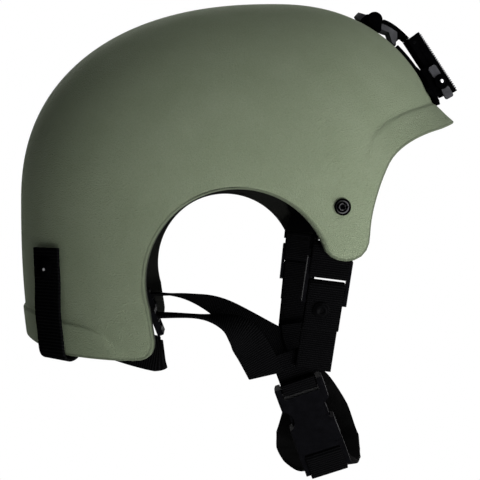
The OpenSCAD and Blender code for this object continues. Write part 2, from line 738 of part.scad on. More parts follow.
module anchor_form(left) {
    difference() {
        union() {
            anchor_disc(anchor_plate);
            hull() {
                facing(side_point, side_normal)
                    translate([5, -5.5, -anchor_inset - anchor_thick])
                        cube([2, 11, anchor_thick]);
                at_adjuster(left)
                    translate([0, 0, anchor_low + anchor_bar + anchor_slot + 0.8])
                        cube([anchor_breadth - 2, anchor_thick, 1.6], center = true);
            }
            // strap loop of the anchor plate
            at_adjuster(left)
                translate([0, 0, anchor_low + (anchor_bar + anchor_slot + 1.6) / 2])
                    cube([anchor_breadth, anchor_thick, anchor_bar + anchor_slot + 1.6], center = true);
        }
        at_adjuster(left)
            translate([0, 0, anchor_low + anchor_bar + anchor_slot / 2])
                cube([webbing_width + 0.8, 8, anchor_slot], center = true);
        facing(side_point, side_normal)
            translate([0, 0, -anchor_inset - anchor_thick - 1])
                cylinder(d = side_screw_shank + 2 * screw_hole_clearance, h = 5);
    }
}
module anchor_disc(d) {
    facing(side_point, side_normal)
        translate([0, 0, -anchor_inset - anchor_thick])
            cylinder(d = d, h = anchor_thick);
}
module side_nut_form() {
    facing(side_point, side_normal)
        translate([0, 0, -anchor_inset - anchor_thick - 2.7])
            difference() {
                cylinder(d = 8, h = 2.6, $fn = 6);
                translate([0, 0, -1])
                    cylinder(d = side_screw_shank + 0.04, h = 5);
            }
}
module side_screw_right() color([0.12, 0.12, 0.13]) side_screw_form();
module side_screw_left() color([0.12, 0.12, 0.13]) mirror([0, 1, 0]) side_screw_form();
module side_washer_right() color([0.16, 0.16, 0.17]) side_washer_form();
module side_washer_left() color([0.16, 0.16, 0.17]) mirror([0, 1, 0]) side_washer_form();
module side_anchor_right() color([0.3, 0.3, 0.32]) anchor_form(false);
module side_anchor_left() color([0.3, 0.3, 0.32]) mirror([0, 1, 0]) anchor_form(true);
module side_nut_right() color([0.5, 0.5, 0.52]) side_nut_form();
module side_nut_left() color([0.5, 0.5, 0.52]) mirror([0, 1, 0]) side_nut_form();

// A flat ribbon of webbing through stations. Each station is its centre, the direction of its
// width, and the width. The ribbon bends smoothly between stations.
ribbon_steps = 5;
function smooth(a, b, c, d, u) =
    0.5 * (2 * b + (c - a) * u + (2 * a - 5 * b + 4 * c - d) * u * u + (3 * b - a - 3 * c + d) * u * u * u);
function refined(s) = [
    for (i = [0 : len(s) - 2])
        for (k = [(i == 0 ? 0 : 1) : ribbon_steps])
            let (u = k / ribbon_steps)
            let (a = s[max(0, i - 1)])
            let (b = s[i])
            let (c = s[i + 1])
            let (d = s[min(len(s) - 1, i + 2)])
            [smooth(a[0], b[0], c[0], d[0], u), smooth(a[1], b[1], c[1], d[1], u), b[2] + (c[2] - b[2]) * u]];
function unit(v) = v / norm(v);
function ribbon_corner(s, i, side, face, thick) =
    let (t = s[min(len(s) - 1, i + 1)][0] - s[max(0, i - 1)][0])
    let (w = unit(s[i][1] - unit(t) * (s[i][1] * unit(t))))
    let (n = unit(cross(t, w)))
    s[i][0] + w * (side * s[i][2] / 2) + n * (face * thick / 2);
module ribbon(stations, thick) {
    s = refined(stations);
    last = len(s) - 1;
    polyhedron(
        points = [for (i = [0 : last]) each [
            ribbon_corner(s, i, -1, -1, thick), ribbon_corner(s, i, 1, -1, thick),
            ribbon_corner(s, i, 1, 1, thick), ribbon_corner(s, i, -1, 1, thick)]],
        faces = turned(concat(
            [[0, 2, 1], [0, 3, 2], [4 * last, 4 * last + 1, 4 * last + 2], [4 * last, 4 * last + 2, 4 * last + 3]],
            [for (i = [0 : last - 1]) for (k = [0 : 3]) each
                let (a = 4 * i + k)
                let (b = 4 * i + (k + 1) % 4)
                [[a, b, b + 4], [a, b + 4, a + 4]]])),
        convexity = 6);
}

// Rear strap tabs. The upper part swings out on its lower end when its snap is opened, the lower
// part wraps under the rim.
tab_across = [snap_normal.y, -snap_normal.x, 0] / norm([snap_normal.x, snap_normal.y]);
tab_lift = band_proud + 0.5 + webbing_thick / 2;
tab_rest = 0.5 + webbing_thick / 2;
module flap_form() {
    ribbon([
        [on_shell(tab_azimuth, tab_top_rise, tab_rest), tab_across, tab_width],
        [on_shell(tab_azimuth, -14, tab_rest), tab_across, tab_width],
        [on_shell(tab_azimuth, -18, tab_rest + 0.1), tab_across, tab_width],
        [on_shell(tab_azimuth, tab_hinge_rise, tab_lift - 0.5), tab_across, tab_width]], webbing_thick);
}
module snap_flap_form() {
    difference() {
        flap_form();
        facing(snap_point, snap_normal)
            translate([0, 0, -1])
                cylinder(d = 8, h = 8);
    }
}
lower_start = tab_hinge_rise - 0.65;
rim_under = 3.3;
module wrap_form() {
    a = on_shell(tab_azimuth, tab_rim_rise + 0.4, tab_lift);
    b = on_shell(tab_azimuth, tab_rim_rise + 0.4, -shell_wall - tab_lift - 0.1);
    ribbon([
        [on_shell(tab_azimuth, lower_start, tab_lift - 0.3), tab_across, tab_width],
        [on_shell(tab_azimuth, tab_rim_rise + 7.8, tab_lift), tab_across, tab_width],
        [on_shell(tab_azimuth, tab_rim_rise + 4.3, tab_lift), tab_across, tab_width],
        [a, tab_across, tab_width],
        [(a + b) / 2 - [0, 0, rim_under], tab_across, tab_width],
        [b, tab_across, tab_width],
        [on_shell(tab_azimuth, tab_rim_rise + 3.8, -shell_wall - tab_rest - 1.2), tab_across, tab_width],
        [on_shell(tab_azimuth, tab_rim_rise + 6.4, -shell_wall - tab_rest - 1.2), tab_across, tab_width]], webbing_thick);
}
snap_cap = 13.5;
snap_cap_rise = 3.6;
snap_cavity = 7.6;
module snap_cap_form() {
    facing(snap_point, snap_normal)
        translate([0, 0, tab_rest + webbing_thick / 2 + 0.05])
            rotate_extrude()
                polygon(concat(
                    [[snap_cavity / 2, -webbing_thick], [7.9 / 2, -webbing_thick], [7.9 / 2, 0]],
                    [for (k = [0 : 8]) [snap_cap / 2 - 1.6 * (1 - cos(k * 6)) - k * 0.12, 0.5 * min(k, 1) + 0.22 * k]],
                    [[4, 2.7], [2.6, 3.2], [1.2, snap_cap_rise - 0.15], [0, snap_cap_rise]],
                    [[0, 2.2], [snap_cavity / 2, 1.9]]));
}
snap_post = 6.4;
module snap_stud_form() {
    facing(snap_point, snap_normal)
        rotate_extrude()
            polygon([[0, -shell_wall - 2.4], [5, -shell_wall - 2.4], [5, -shell_wall - 1.1], [2, -shell_wall - 1.1], [2, 0.25],
                [4, 0.25], [4, 0.45], [2.3, 0.6], [2.3, 1.6], [snap_post / 2, 2.2], [snap_post / 2 - 0.3, 3], [2.2, 3.3], [0, 3.3]]);
}
module snap_flap_right() color([0.07, 0.07, 0.08]) snap_flap_form();
module snap_flap_left() color([0.07, 0.07, 0.08]) mirror([0, 1, 0]) snap_flap_form();
module rim_strap_right() color([0.07, 0.07, 0.08]) wrap_form();
module rim_strap_left() color([0.07, 0.07, 0.08]) mirror([0, 1, 0]) wrap_form();
module snap_cap_right() color([0.05, 0.05, 0.07]) snap_cap_form();
module snap_cap_left() color([0.05, 0.05, 0.07]) mirror([0, 1, 0]) snap_cap_form();
module snap_stud_right() color([0.3, 0.3, 0.32]) snap_stud_form();
module snap_stud_left() color([0.3, 0.3, 0.32]) mirror([0, 1, 0]) snap_stud_form();

// Front straps: each hangs from its anchor plate to a two-bar adjuster, then runs to the yoke.
adjuster_tilt = 7;
adjuster_lean = 12.5;
// the adjuster hangs below the side screw
adjuster_hang = [-6.3, 14.85, -40.6];
adjuster_right = side_point + adjuster_hang;
laid_adjuster = [48.2, -97, 0.6];
yoke_shift = [adjuster_right.x - laid_adjuster.x, 0, adjuster_right.z - laid_adjuster.z];
yoke_spread = adjuster_right.y / laid_adjuster.y;
// a point below the yoke, which keeps its place between the two front straps
function hung(p) = [p.x, p.y * yoke_spread, p.z] + yoke_shift;

left_shift = [3, 2.4, 0];
module at_adjuster(left) {
    translate(adjuster_right + (left ? left_shift : [0, 0, 0]))
        rotate([adjuster_lean, adjuster_tilt, 0])
            children();
}
adjuster_breadth = 24.6;
adjuster_height = 25.6;
bar_diameter = 2.6;
upper_bar = 6.4;
lower_bar = -4.6;
bar_clear = 0.25;
loop_outer = bar_diameter / 2 + bar_clear + webbing_thick;
module adjuster_form() {
    rail = (adjuster_breadth - webbing_width - 0.8) / 2;
    difference() {
        union() {
            for (s = [-1, 1])
                translate([s * (adjuster_breadth - rail) / 2, 0, 0])
                    cube([rail, 4.4, adjuster_height], center = true);
            for (z = [upper_bar, lower_bar])
                translate([0, 0, z])
                    rotate([0, 90, 0])
                        cylinder(d = bar_diameter, h = adjuster_breadth - 1, center = true);
            // bar at the foot, under which the strap is gripped
            translate([0, -0.9, -adjuster_height / 2 + 1])
                cube([adjuster_breadth, 2.6, 2], center = true);
        }
        // thumb relief at the foot
        translate([0, -3, -adjuster_height / 2 - 6.4])
            rotate([90, 0, 0])
                cylinder(r = 7.2, h = 3, center = true);
    }
}
module adjuster_right_part() color([0.06, 0.06, 0.07]) at_adjuster(false) adjuster_form();
module adjuster_left_part() color([0.06, 0.06, 0.07]) mirror([0, 1, 0]) at_adjuster(true) adjuster_form();

// Webbing round a bar: two runs joined by half a turn, drawn in the plane of the run.
module loop_profile(run_front, run_back) {
    inner = bar_diameter / 2 + bar_clear;
    difference() {
        circle(r = inner + webbing_thick);
        circle(r = inner);
        translate([-20, 0])
            square([40, 20]);
    }
    translate([-inner - webbing_thick, -0.01])
        square([webbing_thick, run_front]);
    translate([inner, -0.01])
        square([webbing_thick, run_back]);
}
module loop_round(z, run_front, run_back, width, up) {
    // the loop's open side is up, its front run is towards the outside of the helmet
    translate([-width / 2, 0, z])
        rotate([90, 0, 90])
            linear_extrude(width)
                scale([1, up ? 1 : -1])
                    loop_profile(run_front, run_back);
}
// The upper strap is a sewn ring round the adjuster's upper bar and the bar of the anchor plate.
module upper_strap_form(left) {
    inner = bar_diameter / 2 + bar_clear;
    top = anchor_low + anchor_bar - inner + 0.4;
    at_adjuster(left)
        translate([-webbing_width / 2, 0, 0])
            rotate([90, 0, 90])
                linear_extrude(webbing_width)
                    difference() {
                        strap_ring(top, inner + webbing_thick);
                        strap_ring(top, inner);
                    }
}
module strap_ring(top, r) {
    translate([0, upper_bar])
        circle(r = r);
    translate([0, top])
        circle(r = r);
    translate([-r, upper_bar])
        square([2 * r, top - upper_bar]);
}
module upper_strap_right() color([0.07, 0.07, 0.08]) upper_strap_form(false);
module upper_strap_left() color([0.07, 0.07, 0.08]) mirror([0, 1, 0]) upper_strap_form(true);
lower_run = 48;
tail_run = 22.5;
module front_strap_form(left) {
    at_adjuster(left)
        difference() {
            loop_round(lower_bar, tail_run, lower_run + (left ? 1 : 0), webbing_width, false);
            // the foot bar passes between the two runs
            translate([0, -1.1, -adjuster_height / 2 + 1])
                cube([adjuster_breadth + 1, 3.4, 2.6], center = true);
        }
}
module front_strap_right() color([0.07, 0.07, 0.08]) front_strap_form(false);
module front_strap_left() color([0.07, 0.07, 0.08]) mirror([0, 1, 0]) front_strap_form(true);

// Where the straps of one side meet, they are sewn in layers. A layer is a distance inward from
// the adjuster's middle plane.
front_layer = bar_diameter / 2 + bar_clear + webbing_thick / 2;
rear_layer = front_layer + webbing_thick + sewn_gap;
chin_layer = rear_layer + webbing_thick + sewn_gap;
layer_normal = [sin(adjuster_lean) * sin(adjuster_tilt), cos(adjuster_lean), sin(adjuster_lean) * cos(adjuster_tilt)];
function on_layer(laid_x, laid_z, depth, left = false) =
    let (o = adjuster_right + (left ? left_shift : [0, 0, 0]))
    let (x = laid_x + yoke_shift.x)
    let (z = laid_z + yoke_shift.z)
    [x, o.y + (depth - layer_normal.x * (x - o.x) - layer_normal.z * (z - o.z)) / layer_normal.y, z];

// Rear straps: flat under the rear of the ear cut, then turning to lie against the front straps.
rear_start = follow([-70, -75.5, -21]);
module rear_strap_right_form() {
    ribbon([
        [rear_start, [0.1, 1, 0], webbing_width],
        [follow([-44, -84, -19.4]), [0.02, 1, 0], webbing_width],
        [follow([-22, -86.5, -19.8]), [0.1, 1, -0.05], webbing_width],
        [follow([-8.3, -87, -22.6]), [0.35, 0.9, 0.18], webbing_width],
        [follow([0, -86.4, -28]), [0.64, 0.62, 0.34], webbing_width],
        [on_layer(7.4, -37.4, rear_layer), [0.87, 0.12, 0.46], webbing_width],
        [on_layer(15.4, -52.2, rear_layer), [0.93, 0.06, 0.34], webbing_width]], webbing_thick);
}
module rear_strap_left_form() {
    mirror([0, 1, 0])
        ribbon([
            [follow([-70, -75.4, -21.4]), [0.1, 1, 0], webbing_width],
            [follow([-48, -83.5, -21.2]), [0.03, 1, 0.04], webbing_width],
            [follow([-30, -87.5, -23.2]), [0.12, 0.95, 0.22], webbing_width],
            [follow([-12, -88, -29]), [0.2, 0.68, 0.55], webbing_width],
            [on_layer(10, -41, rear_layer, true), [0.42, 0.12, 0.84], webbing_width],
            [on_layer(33, -53.4, rear_layer, true), [0.46, 0.03, 0.84], webbing_width],
            [on_layer(47.5, -60, rear_layer, true), [0.36, 0.03, 0.9], webbing_width]], webbing_thick);
}
module rear_strap_right() color([0.07, 0.07, 0.08]) rear_strap_right_form();
module rear_strap_left() color([0.07, 0.07, 0.08]) rear_strap_left_form();

// Nape gear: on each side a slider joins the rear strap to a flat nape strap, which runs back
// inside the shell to the nape pad.
slider_at = follow([-45.4, -83.5, -22.9]);
slider_lean = -22;
slider_thick = 3.4;
slider_height = 14;
slider_slot = 3.8;
slider_width = 25.6;
far_slider_shift = [-9.5, 3.3, -1.6];
// the wearer's left nape gear sits a little further back
nape_shift = [-16, 7.5, 0];
module at_slider() {
    translate(slider_at)
        rotate([0, slider_lean, 0])
            children();
}
module slider_form() {
    at_slider()
        difference() {
            cube([slider_thick, slider_width, slider_height], center = true);
            for (z = [3.6, -1.6])
                translate([0, 0, z])
                    rotate([0, -slider_lean, 0])
                        cube([12, webbing_width + 4, slider_slot], center = true);
        }
}
module nape_strap_form(shift) {
    ribbon([
        [follow([-107.8, -38, -28.4]), [0, 0, 1], webbing_width],
        [follow([-98.6, -50.4, -28.8]), [0, 0, 1], webbing_width],
        [follow([-88, -62.4, -30.6]), [0, 0, 1], webbing_width],
        [follow([-75, -73.4, -34]) + 0.3 * shift, [0, 0.05, 1], webbing_width],
        [follow([-60, -81.8, -37.6]) + 0.8 * shift, [0.06, 0.06, 1], webbing_width],
        [follow([-45.4, -86, -40.6]) + shift, [0.05, 0.04, 1], webbing_width],
        [follow([-41, -86.4, -40.4]) + shift, [0.05, 0.04, 1], webbing_width - 5]], webbing_thick);
}
module nape_slider_right() color([0.06, 0.06, 0.07]) slider_form();
module nape_slider_left() color([0.06, 0.06, 0.07]) mirror([0, 1, 0]) translate(far_slider_shift) slider_form();
module nape_strap_right() color([0.07, 0.07, 0.08]) nape_strap_form([0, 0, 0]);
module nape_strap_left() color([0.07, 0.07, 0.08]) mirror([0, 1, 0]) nape_strap_form(nape_shift);

// Side release buckle on the wearer's right. Its frame has X across, Z up along the strap and
// Y through its thickness, with the origin at the top of the socket half.
buckle_tilt = -26.7;
buckle_top = on_layer(33.6, -57.1, chin_layer - front_layer);
module at_buckle() {
    translate(buckle_top)
        rotate([adjuster_lean, adjuster_tilt, 0])
            rotate([0, buckle_tilt, 0])
                children();
}
socket_bar = -3.2;
cavity_half = 11.2;
cavity_thick = 5;
cavity_top = -11.5;
window_middle = -19.8;
window_reach = 6.2;
window_depth = 5.6;
module socket_outline() {
    w = buckle_width / 2;
    difference() {
        polygon(concat(
            [[-w, -1], [-w + 1, 0], [w - 1, 0], [w, -1], [w, -8.5]],
            [for (k = [0 : 6]) [w - 0.5 * (1 - cos(k * 30)), -9 - 3.4 * k]],
            [[w - 0.7, -buckle_socket_length + 1.5], [w - 2, -buckle_socket_length],
             [-w + 2, -buckle_socket_length], [-w + 0.7, -buckle_socket_length + 1.5]],
            [for (k = [6 : -1 : 0]) [-w + 0.5 * (1 - cos(k * 30)), -9 - 3.4 * k]],
            [[-w, -8.5]]));
        for (s = [-1, 1])
            translate([s * (w + 0.6), window_middle])
                scale([window_depth / window_reach, 1])
                    circle(r = window_reach);
    }
}
module buckle_socket() color([0.06, 0.06, 0.07]) {
    at_buckle()
        difference() {
            rotate([90, 0, 0])
                translate([0, 0, -buckle_thick / 2])
                    linear_extrude(buckle_thick)
                        socket_outline();
            // strap slot above and below the bar
            translate([0, 0, socket_bar])
                difference() {
                    cube([webbing_width + 1, 20, 2 * (bar_diameter / 2 + bar_clear + webbing_thick) + 0.8], center = true);
                    rotate([0, 90, 0])
                        cylinder(d = bar_diameter, h = 40, center = true);
                }
            // the cavity for the plug, open at the mouth
            translate([-cavity_half, -cavity_thick / 2, -buckle_socket_length - 1])
                cube([2 * cavity_half, cavity_thick, buckle_socket_length + 1 + cavity_top]);
            // thinned edges at the front and the back
            for (s = [-1, 1])
                for (e = [-1, 1])
                    translate([e * buckle_width / 2, s * buckle_thick / 2, -20])
                        rotate([0, 0, 45])
                            cube([1.6, 1.6, 60], center = true);
        }
}
buckle_loop_back = 13;
buckle_loop_front = 4.4;
module buckle_strap() color([0.07, 0.07, 0.08]) {
    at_buckle()
        loop_round(socket_bar, buckle_loop_front, buckle_loop_back, webbing_width, true);
}
plug_top_bar = -46.8;
plug_low_bar = -53.4;
plug_thick = cavity_thick - 2 * fit_gap;
plug_half = 13.4;
prong_pivot = [9.1, -38.4];
prong_root = 1.7;
guide_half = 4.2;
module buckle_plug() color([0.06, 0.06, 0.07]) {
    at_buckle()
        difference() {
            rotate([90, 0, 0])
                translate([0, 0, -plug_thick / 2])
                    linear_extrude(plug_thick)
                        difference() {
                            union() {
                                // shoulder and side rails
                                translate([-plug_half, -56])
                                    square([2 * plug_half, 56 - buckle_socket_length - fit_gap]);
                                // part inside the socket, with the middle guide
                                translate([-cavity_half + fit_gap, -buckle_socket_length - 1])
                                    square([2 * (cavity_half - fit_gap), 2.4]);
                                polygon([[-guide_half, -38], [guide_half, -38], [guide_half, -18], [guide_half - 1.4, -14.4],
                                    [-guide_half + 1.4, -14.4], [-guide_half, -18]]);
                            }
                            translate([-webbing_width / 2 - 0.5, -60])
                                square([webbing_width + 1, plug_top_bar + 63.6]);
                            for (s = [-1, 1])
                                translate([s * prong_pivot[0], prong_pivot[1]]) {
                                    circle(r = prong_root + pivot_clearance);
                                    translate([-2.2, 0])
                                        square([4.6, 3]);
                                }
                        }
        }
    at_buckle()
        for (z = [plug_top_bar, plug_low_bar])
            translate([0, 0, z])
                rotate([0, 90, 0])
                    cylinder(d = bar_diameter, h = 2 * plug_half - 2, center = true);
}
module prong_form() {
    translate([prong_pivot[0], 0, prong_pivot[1]])
        rotate([90, 0, 0])
            translate([0, 0, -plug_thick / 2 + 0.1])
                linear_extrude(plug_thick - 0.2)
                    union() {
                        circle(r = prong_root);
                        polygon([[-1.3, 0], [1.5, 0], [1.4, 10.5], [1.75, 14], [1.85, 18.9], [1.5, 22], [0.4, 24], [-0.9, 24],
                            [-1.6, 21], [-1.3, 12]]);
                    }
}
module prong_front() color([0.06, 0.06, 0.07]) at_buckle() prong_form();
module prong_rear() color([0.06, 0.06, 0.07]) at_buckle() mirror([1, 0, 0]) prong_form();
chin_tail = 13;
module chin_strap() color([0.07, 0.07, 0.08]) {
    at_buckle()
        difference() {
            loop_round(plug_top_bar, chin_tail, 12.4, webbing_width, false);
            // the lower bar passes between the two runs
            translate([0, 0, plug_low_bar])
                rotate([0, 90, 0])
                    cylinder(d = bar_diameter + 2 * bar_clear, h = 60, center = true);
        }
}

// Chin cup: a curved pad hung between the buckle and the wearer's left strap.
buckle_across = [0.94, -0.102, 0.326];
buckle_down = [0.34, 0.191, -0.921];
cup_behind = layer_normal * (front_layer + webbing_thick / 2 + chin_cup_thick / 2 + 0.9);
cup_near = buckle_top + buckle_down * 44 + cup_behind;
cup_turn = buckle_top + buckle_down * 52 + cup_behind;
module chin_cup() color([0.06, 0.06, 0.07]) {
    ribbon([
        [cup_near, buckle_across, webbing_width + 1],
        [cup_turn, buckle_across, webbing_width + 3],
        [hung([54, -52.5, -110.7]), [0.98, -0.04, 0.15], 0.66 * chin_cup_width],
        [hung([53.6, -28, -112.4]), [1, 0, 0.04], 0.88 * chin_cup_width],
        [hung([54.2, -3, -111.7]), [1, 0, 0], 0.98 * chin_cup_width],
        [hung([56.6, 22, -108]), [1, 0, 0], chin_cup_width],
        [hung([58, 46, -94.5]), [1, 0, 0], 0.82 * chin_cup_width],
        [hung([53.5, 62, -75]), [0.99, 0, -0.1], webbing_width + 6]], chin_cup_thick);
}
module chin_strap_left() color([0.07, 0.07, 0.08]) {
    mirror([0, 1, 0])
        ribbon([
            [hung([54.8, -54.6, -80.2]), [0.99, 0, -0.1], webbing_width],
            [hung([53.4, -60.6, -72.4]), [0.99, 0, -0.08], webbing_width],
            [hung([50.6, -71, -59]), [0.99, 0, -0.05], webbing_width],
            [on_layer(48, -50, chin_layer + 2.3, true), [0.99, 0, -0.02], webbing_width],
            [on_layer(46.8, -41.5, chin_layer + 2.7, true), [0.99, 0, -0.02], webbing_width]], webbing_thick);
}

// Snap buttons on the front straps, below the adjusters.
button_diameter = 9;
button_drop = -15.7;
module button_form(left) {
    at_adjuster(left)
        translate([-1.3, -front_layer - webbing_thick / 2 - 0.1, button_drop])
            rotate([90, 0, 0])
                difference() {
                    union() {
                        cylinder(d = button_diameter, h = 1);
                        translate([0, 0, 0.9])
                            cylinder(d1 = button_diameter - 0.6, d2 = button_diameter - 3, h = 1);
                    }
                    translate([0, 0, 1.3])
                        cylinder(d = 3.4, h = 2);
                }
}
module strap_button_right() color([0.05, 0.05, 0.06]) button_form(false);
module strap_button_left() color([0.05, 0.05, 0.06]) mirror([0, 1, 0]) button_form(true);

// Pads: each follows the inside of the shell, with a crowned face and drawn-in sides.
pad_gap = 0.7;
pad_rings = 4;
pad_sectors = 20;
function squircle(a, p) = 1 / pow(pow(abs(cos(a)), p) + pow(abs(sin(a)), p), 1 / p);
function pad_point(at, size, ring, sector, inside, thick) =
    let (a = sector * 360 / pad_sectors)
    let (r = ring / pad_rings)
    let (k = r * squircle(a, 3.4))
    let (az = at[0] + size[0] * k * cos(a) / cos(at[1]))
    let (el = at[1] + size[1] * k * sin(a))
    let (edge = pow(r, 4))
    on_shell(az, el, -shell_wall - pad_gap - (inside ? thick * (1 - 0.45 * edge) : thick * 0.22 * pow(edge, 2)));
module pad(at, size, thick) {
    ring_points = pad_rings * pad_sectors + 1;
    polyhedron(
        points = concat(
            [pad_point(at, size, 0, 0, false, thick)],
            [for (r = [1 : pad_rings]) for (s = [0 : pad_sectors - 1]) pad_point(at, size, r, s, false, thick)],
            [pad_point(at, size, 0, 0, true, thick)],
            [for (r = [1 : pad_rings]) for (s = [0 : pad_sectors - 1]) pad_point(at, size, r, s, true, thick)]),
        faces = concat(
            [for (s = [0 : pad_sectors - 1]) each
                let (b = 1 + (s + 1) % pad_sectors)
                [[0, b, 1 + s], [ring_points, ring_points + 1 + s, ring_points + b]]],
            [for (r = [0 : pad_rings - 2]) for (s = [0 : pad_sectors - 1]) each
                let (a = 1 + r * pad_sectors + s)
                let (b = 1 + r * pad_sectors + (s + 1) % pad_sectors)
                let (c = a + pad_sectors)
                let (d = b + pad_sectors)
                [[a, b, d], [a, d, c],
                 [ring_points + a, ring_points + d, ring_points + b], [ring_points + a, ring_points + c, ring_points + d]]],
            [for (s = [0 : pad_sectors - 1]) each
                let (a = 1 + (pad_rings - 1) * pad_sectors + s)
                let (b = 1 + (pad_rings - 1) * pad_sectors + (s + 1) % pad_sectors)
                [[a, b, ring_points + b], [a, ring_points + b, ring_points + a]]]),
        convexity = 6);
}
pad_thick = 19;
module front_pad() color([0.1, 0.1, 0.1]) pad([0, 23], [24, 11], pad_thick);
module rear_pad() color([0.1, 0.1, 0.1]) pad([180, 4], [25, 11], pad_thick);
module crown_pad() color([0.1, 0.1, 0.1]) pad([0, 74], [9, 24], pad_thick);
module temple_pad_right() color([0.1, 0.1, 0.1]) pad([-48, 34], [16, 10], pad_thick);
module temple_pad_left() color([0.1, 0.1, 0.1]) mirror([0, 1, 0]) pad([-48, 34], [16, 10], pad_thick);
module side_pad_right() color([0.1, 0.1, 0.1]) pad([-128, 26], [18, 11], pad_thick);
module side_pad_left() color([0.1, 0.1, 0.1]) mirror([0, 1, 0]) pad([-128, 26], [18, 11], pad_thick);
module nape_pad() color([0.16, 0.17, 0.14]) pad([180, -24.5], [15.5, 6.6], 10);

shell();
mount_base();
housing();
front_plate();
mount_bolt();
mount_nut();
lock_lever();
lock_pin();
arm();
arm_cover();
arm_pin_rod();
hook_block();
hook_pin_knob();
claw();
side_screw_right();
side_screw_left();
side_washer_right();
side_washer_left();
side_anchor_right();
side_anchor_left();
side_nut_right();
side_nut_left();
snap_flap_right();
snap_flap_left();
rim_strap_right();
rim_strap_left();
snap_cap_right();
snap_cap_left();
snap_stud_right();
snap_stud_left();
adjuster_right_part();
adjuster_left_part();
upper_strap_right();
upper_strap_left();
front_strap_right();
front_strap_left();
strap_button_right();
strap_button_left();
rear_strap_right();
rear_strap_left();
nape_slider_right();
nape_slider_left();
nape_strap_right();
nape_strap_left();
nape_pad();
buckle_strap();
buckle_socket();
buckle_plug();
prong_front();
prong_rear();
chin_strap();
chin_cup();
chin_strap_left();
front_pad();
rear_pad();
crown_pad();
temple_pad_right();
temple_pad_left();
side_pad_right();
side_pad_left();
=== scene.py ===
# Combat helmet with a moulded shell, a folding front mount, pads and a four-point chin harness.
import math
import bpy
import bmesh
import numpy as np
from mathutils import Matrix, Vector
from mathutils.bvhtree import BVHTree


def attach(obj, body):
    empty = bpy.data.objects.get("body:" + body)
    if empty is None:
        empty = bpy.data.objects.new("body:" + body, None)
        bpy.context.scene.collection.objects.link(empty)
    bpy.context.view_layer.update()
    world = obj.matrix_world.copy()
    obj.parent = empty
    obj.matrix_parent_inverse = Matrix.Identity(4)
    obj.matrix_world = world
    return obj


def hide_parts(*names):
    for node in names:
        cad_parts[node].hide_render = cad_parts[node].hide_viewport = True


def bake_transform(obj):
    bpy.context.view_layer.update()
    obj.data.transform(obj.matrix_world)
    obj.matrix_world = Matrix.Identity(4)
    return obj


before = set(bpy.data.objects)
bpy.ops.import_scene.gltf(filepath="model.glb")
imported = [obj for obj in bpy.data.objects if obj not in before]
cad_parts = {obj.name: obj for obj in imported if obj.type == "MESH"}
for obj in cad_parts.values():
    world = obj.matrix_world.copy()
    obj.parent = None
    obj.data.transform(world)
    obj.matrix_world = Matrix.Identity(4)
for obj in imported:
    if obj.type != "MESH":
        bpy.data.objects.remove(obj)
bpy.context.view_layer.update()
mm = 0.001

# The camera stands level at the helmet's right side, as the photographer did.
cameraSet = {
    "place": (-0.0252, -0.689, 0.0421),
    "lens": 81.075,
    "shift": (0.0979, -0.0723),
}
cameraData = bpy.data.cameras.new("camera")
cameraData.lens = cameraSet["lens"]
cameraData.sensor_width = 36
cameraData.shift_x, cameraData.shift_y = cameraSet["shift"]
cameraData.clip_start = 0.05
camera = bpy.data.objects.new("camera", cameraData)
camera.location = cameraSet["place"]
camera.rotation_euler = (math.radians(90), 0, 0)
bpy.context.scene.collection.objects.link(camera)
bpy.context.scene.camera = camera
bpy.context.scene.view_settings.view_transform = "Standard"
print("camera set, and the helmet has no free cord")


def toLinear(hexColour):
    parts = [int(hexColour[i:i + 2], 16) / 255 for i in (1, 3, 5)]
    return tuple(c / 12.92 if c <= 0.04045 else ((c + 0.055) / 1.055) ** 2.4 for c in parts) + (1.0,)


def addNode(tree, kind, settings=None, links=None):
    # a setting is an input by its name or number, the stops of a colour ramp, or the node's own option
    node = tree.nodes.new(kind)
    for key, value in (settings or {}).items():
        if key == "stops":
            for stop, (position, hexColour) in zip(node.color_ramp.elements, value):
                stop.position, stop.color = position, toLinear(hexColour)
        elif isinstance(key, int) or key in node.inputs:
            node.inputs[key].default_value = value
        else:
            setattr(node, key, value)
    for key, source in (links or {}).items():
        tree.links.new(source, node.inputs[key])
    return node


def startMaterial(name, baseColour, roughness, metallic=0.0, specular=0.5, ior=1.5, **more):
    material = bpy.data.materials.new(name)
    material.use_nodes = True
    tree = material.node_tree
    shader = tree.nodes["Principled BSDF"]
    shader.inputs["Base Color"].default_value = toLinear(baseColour)
    shader.inputs["Roughness"].default_value = roughness
    shader.inputs["Metallic"].default_value = metallic
    shader.inputs["Specular IOR Level"].default_value = specular
    shader.inputs["IOR"].default_value = ior
    for key, value in more.items():
        shader.inputs[key.replace("_", " ")].default_value = value
    return material, tree, shader


def placedObject(name, verts, faces, material, uvs=None, smooth=True):
    mesh = bpy.data.meshes.new(name)
    mesh.from_pydata([tuple(v) for v in verts], [], [tuple(f) for f in faces])
    if uvs is not None:
        layer = mesh.uv_layers.new(name="cut")
        loops = np.zeros(len(mesh.loops), dtype=np.int32)
        mesh.loops.foreach_get("vertex_index", loops)
        layer.data.foreach_set("uv", np.array(uvs, dtype=np.float32)[loops].ravel())
    if smooth:
        mesh.shade_smooth()
    mesh.materials.append(material)
    piece = bpy.data.objects.new(name, mesh)
    bpy.context.scene.collection.objects.link(piece)
    return piece


def facesOutward(piece):
    work = bmesh.new()
    work.from_mesh(piece.data)
    bmesh.ops.recalc_face_normals(work, faces=work.faces)
    work.to_mesh(piece.data)
    work.free()


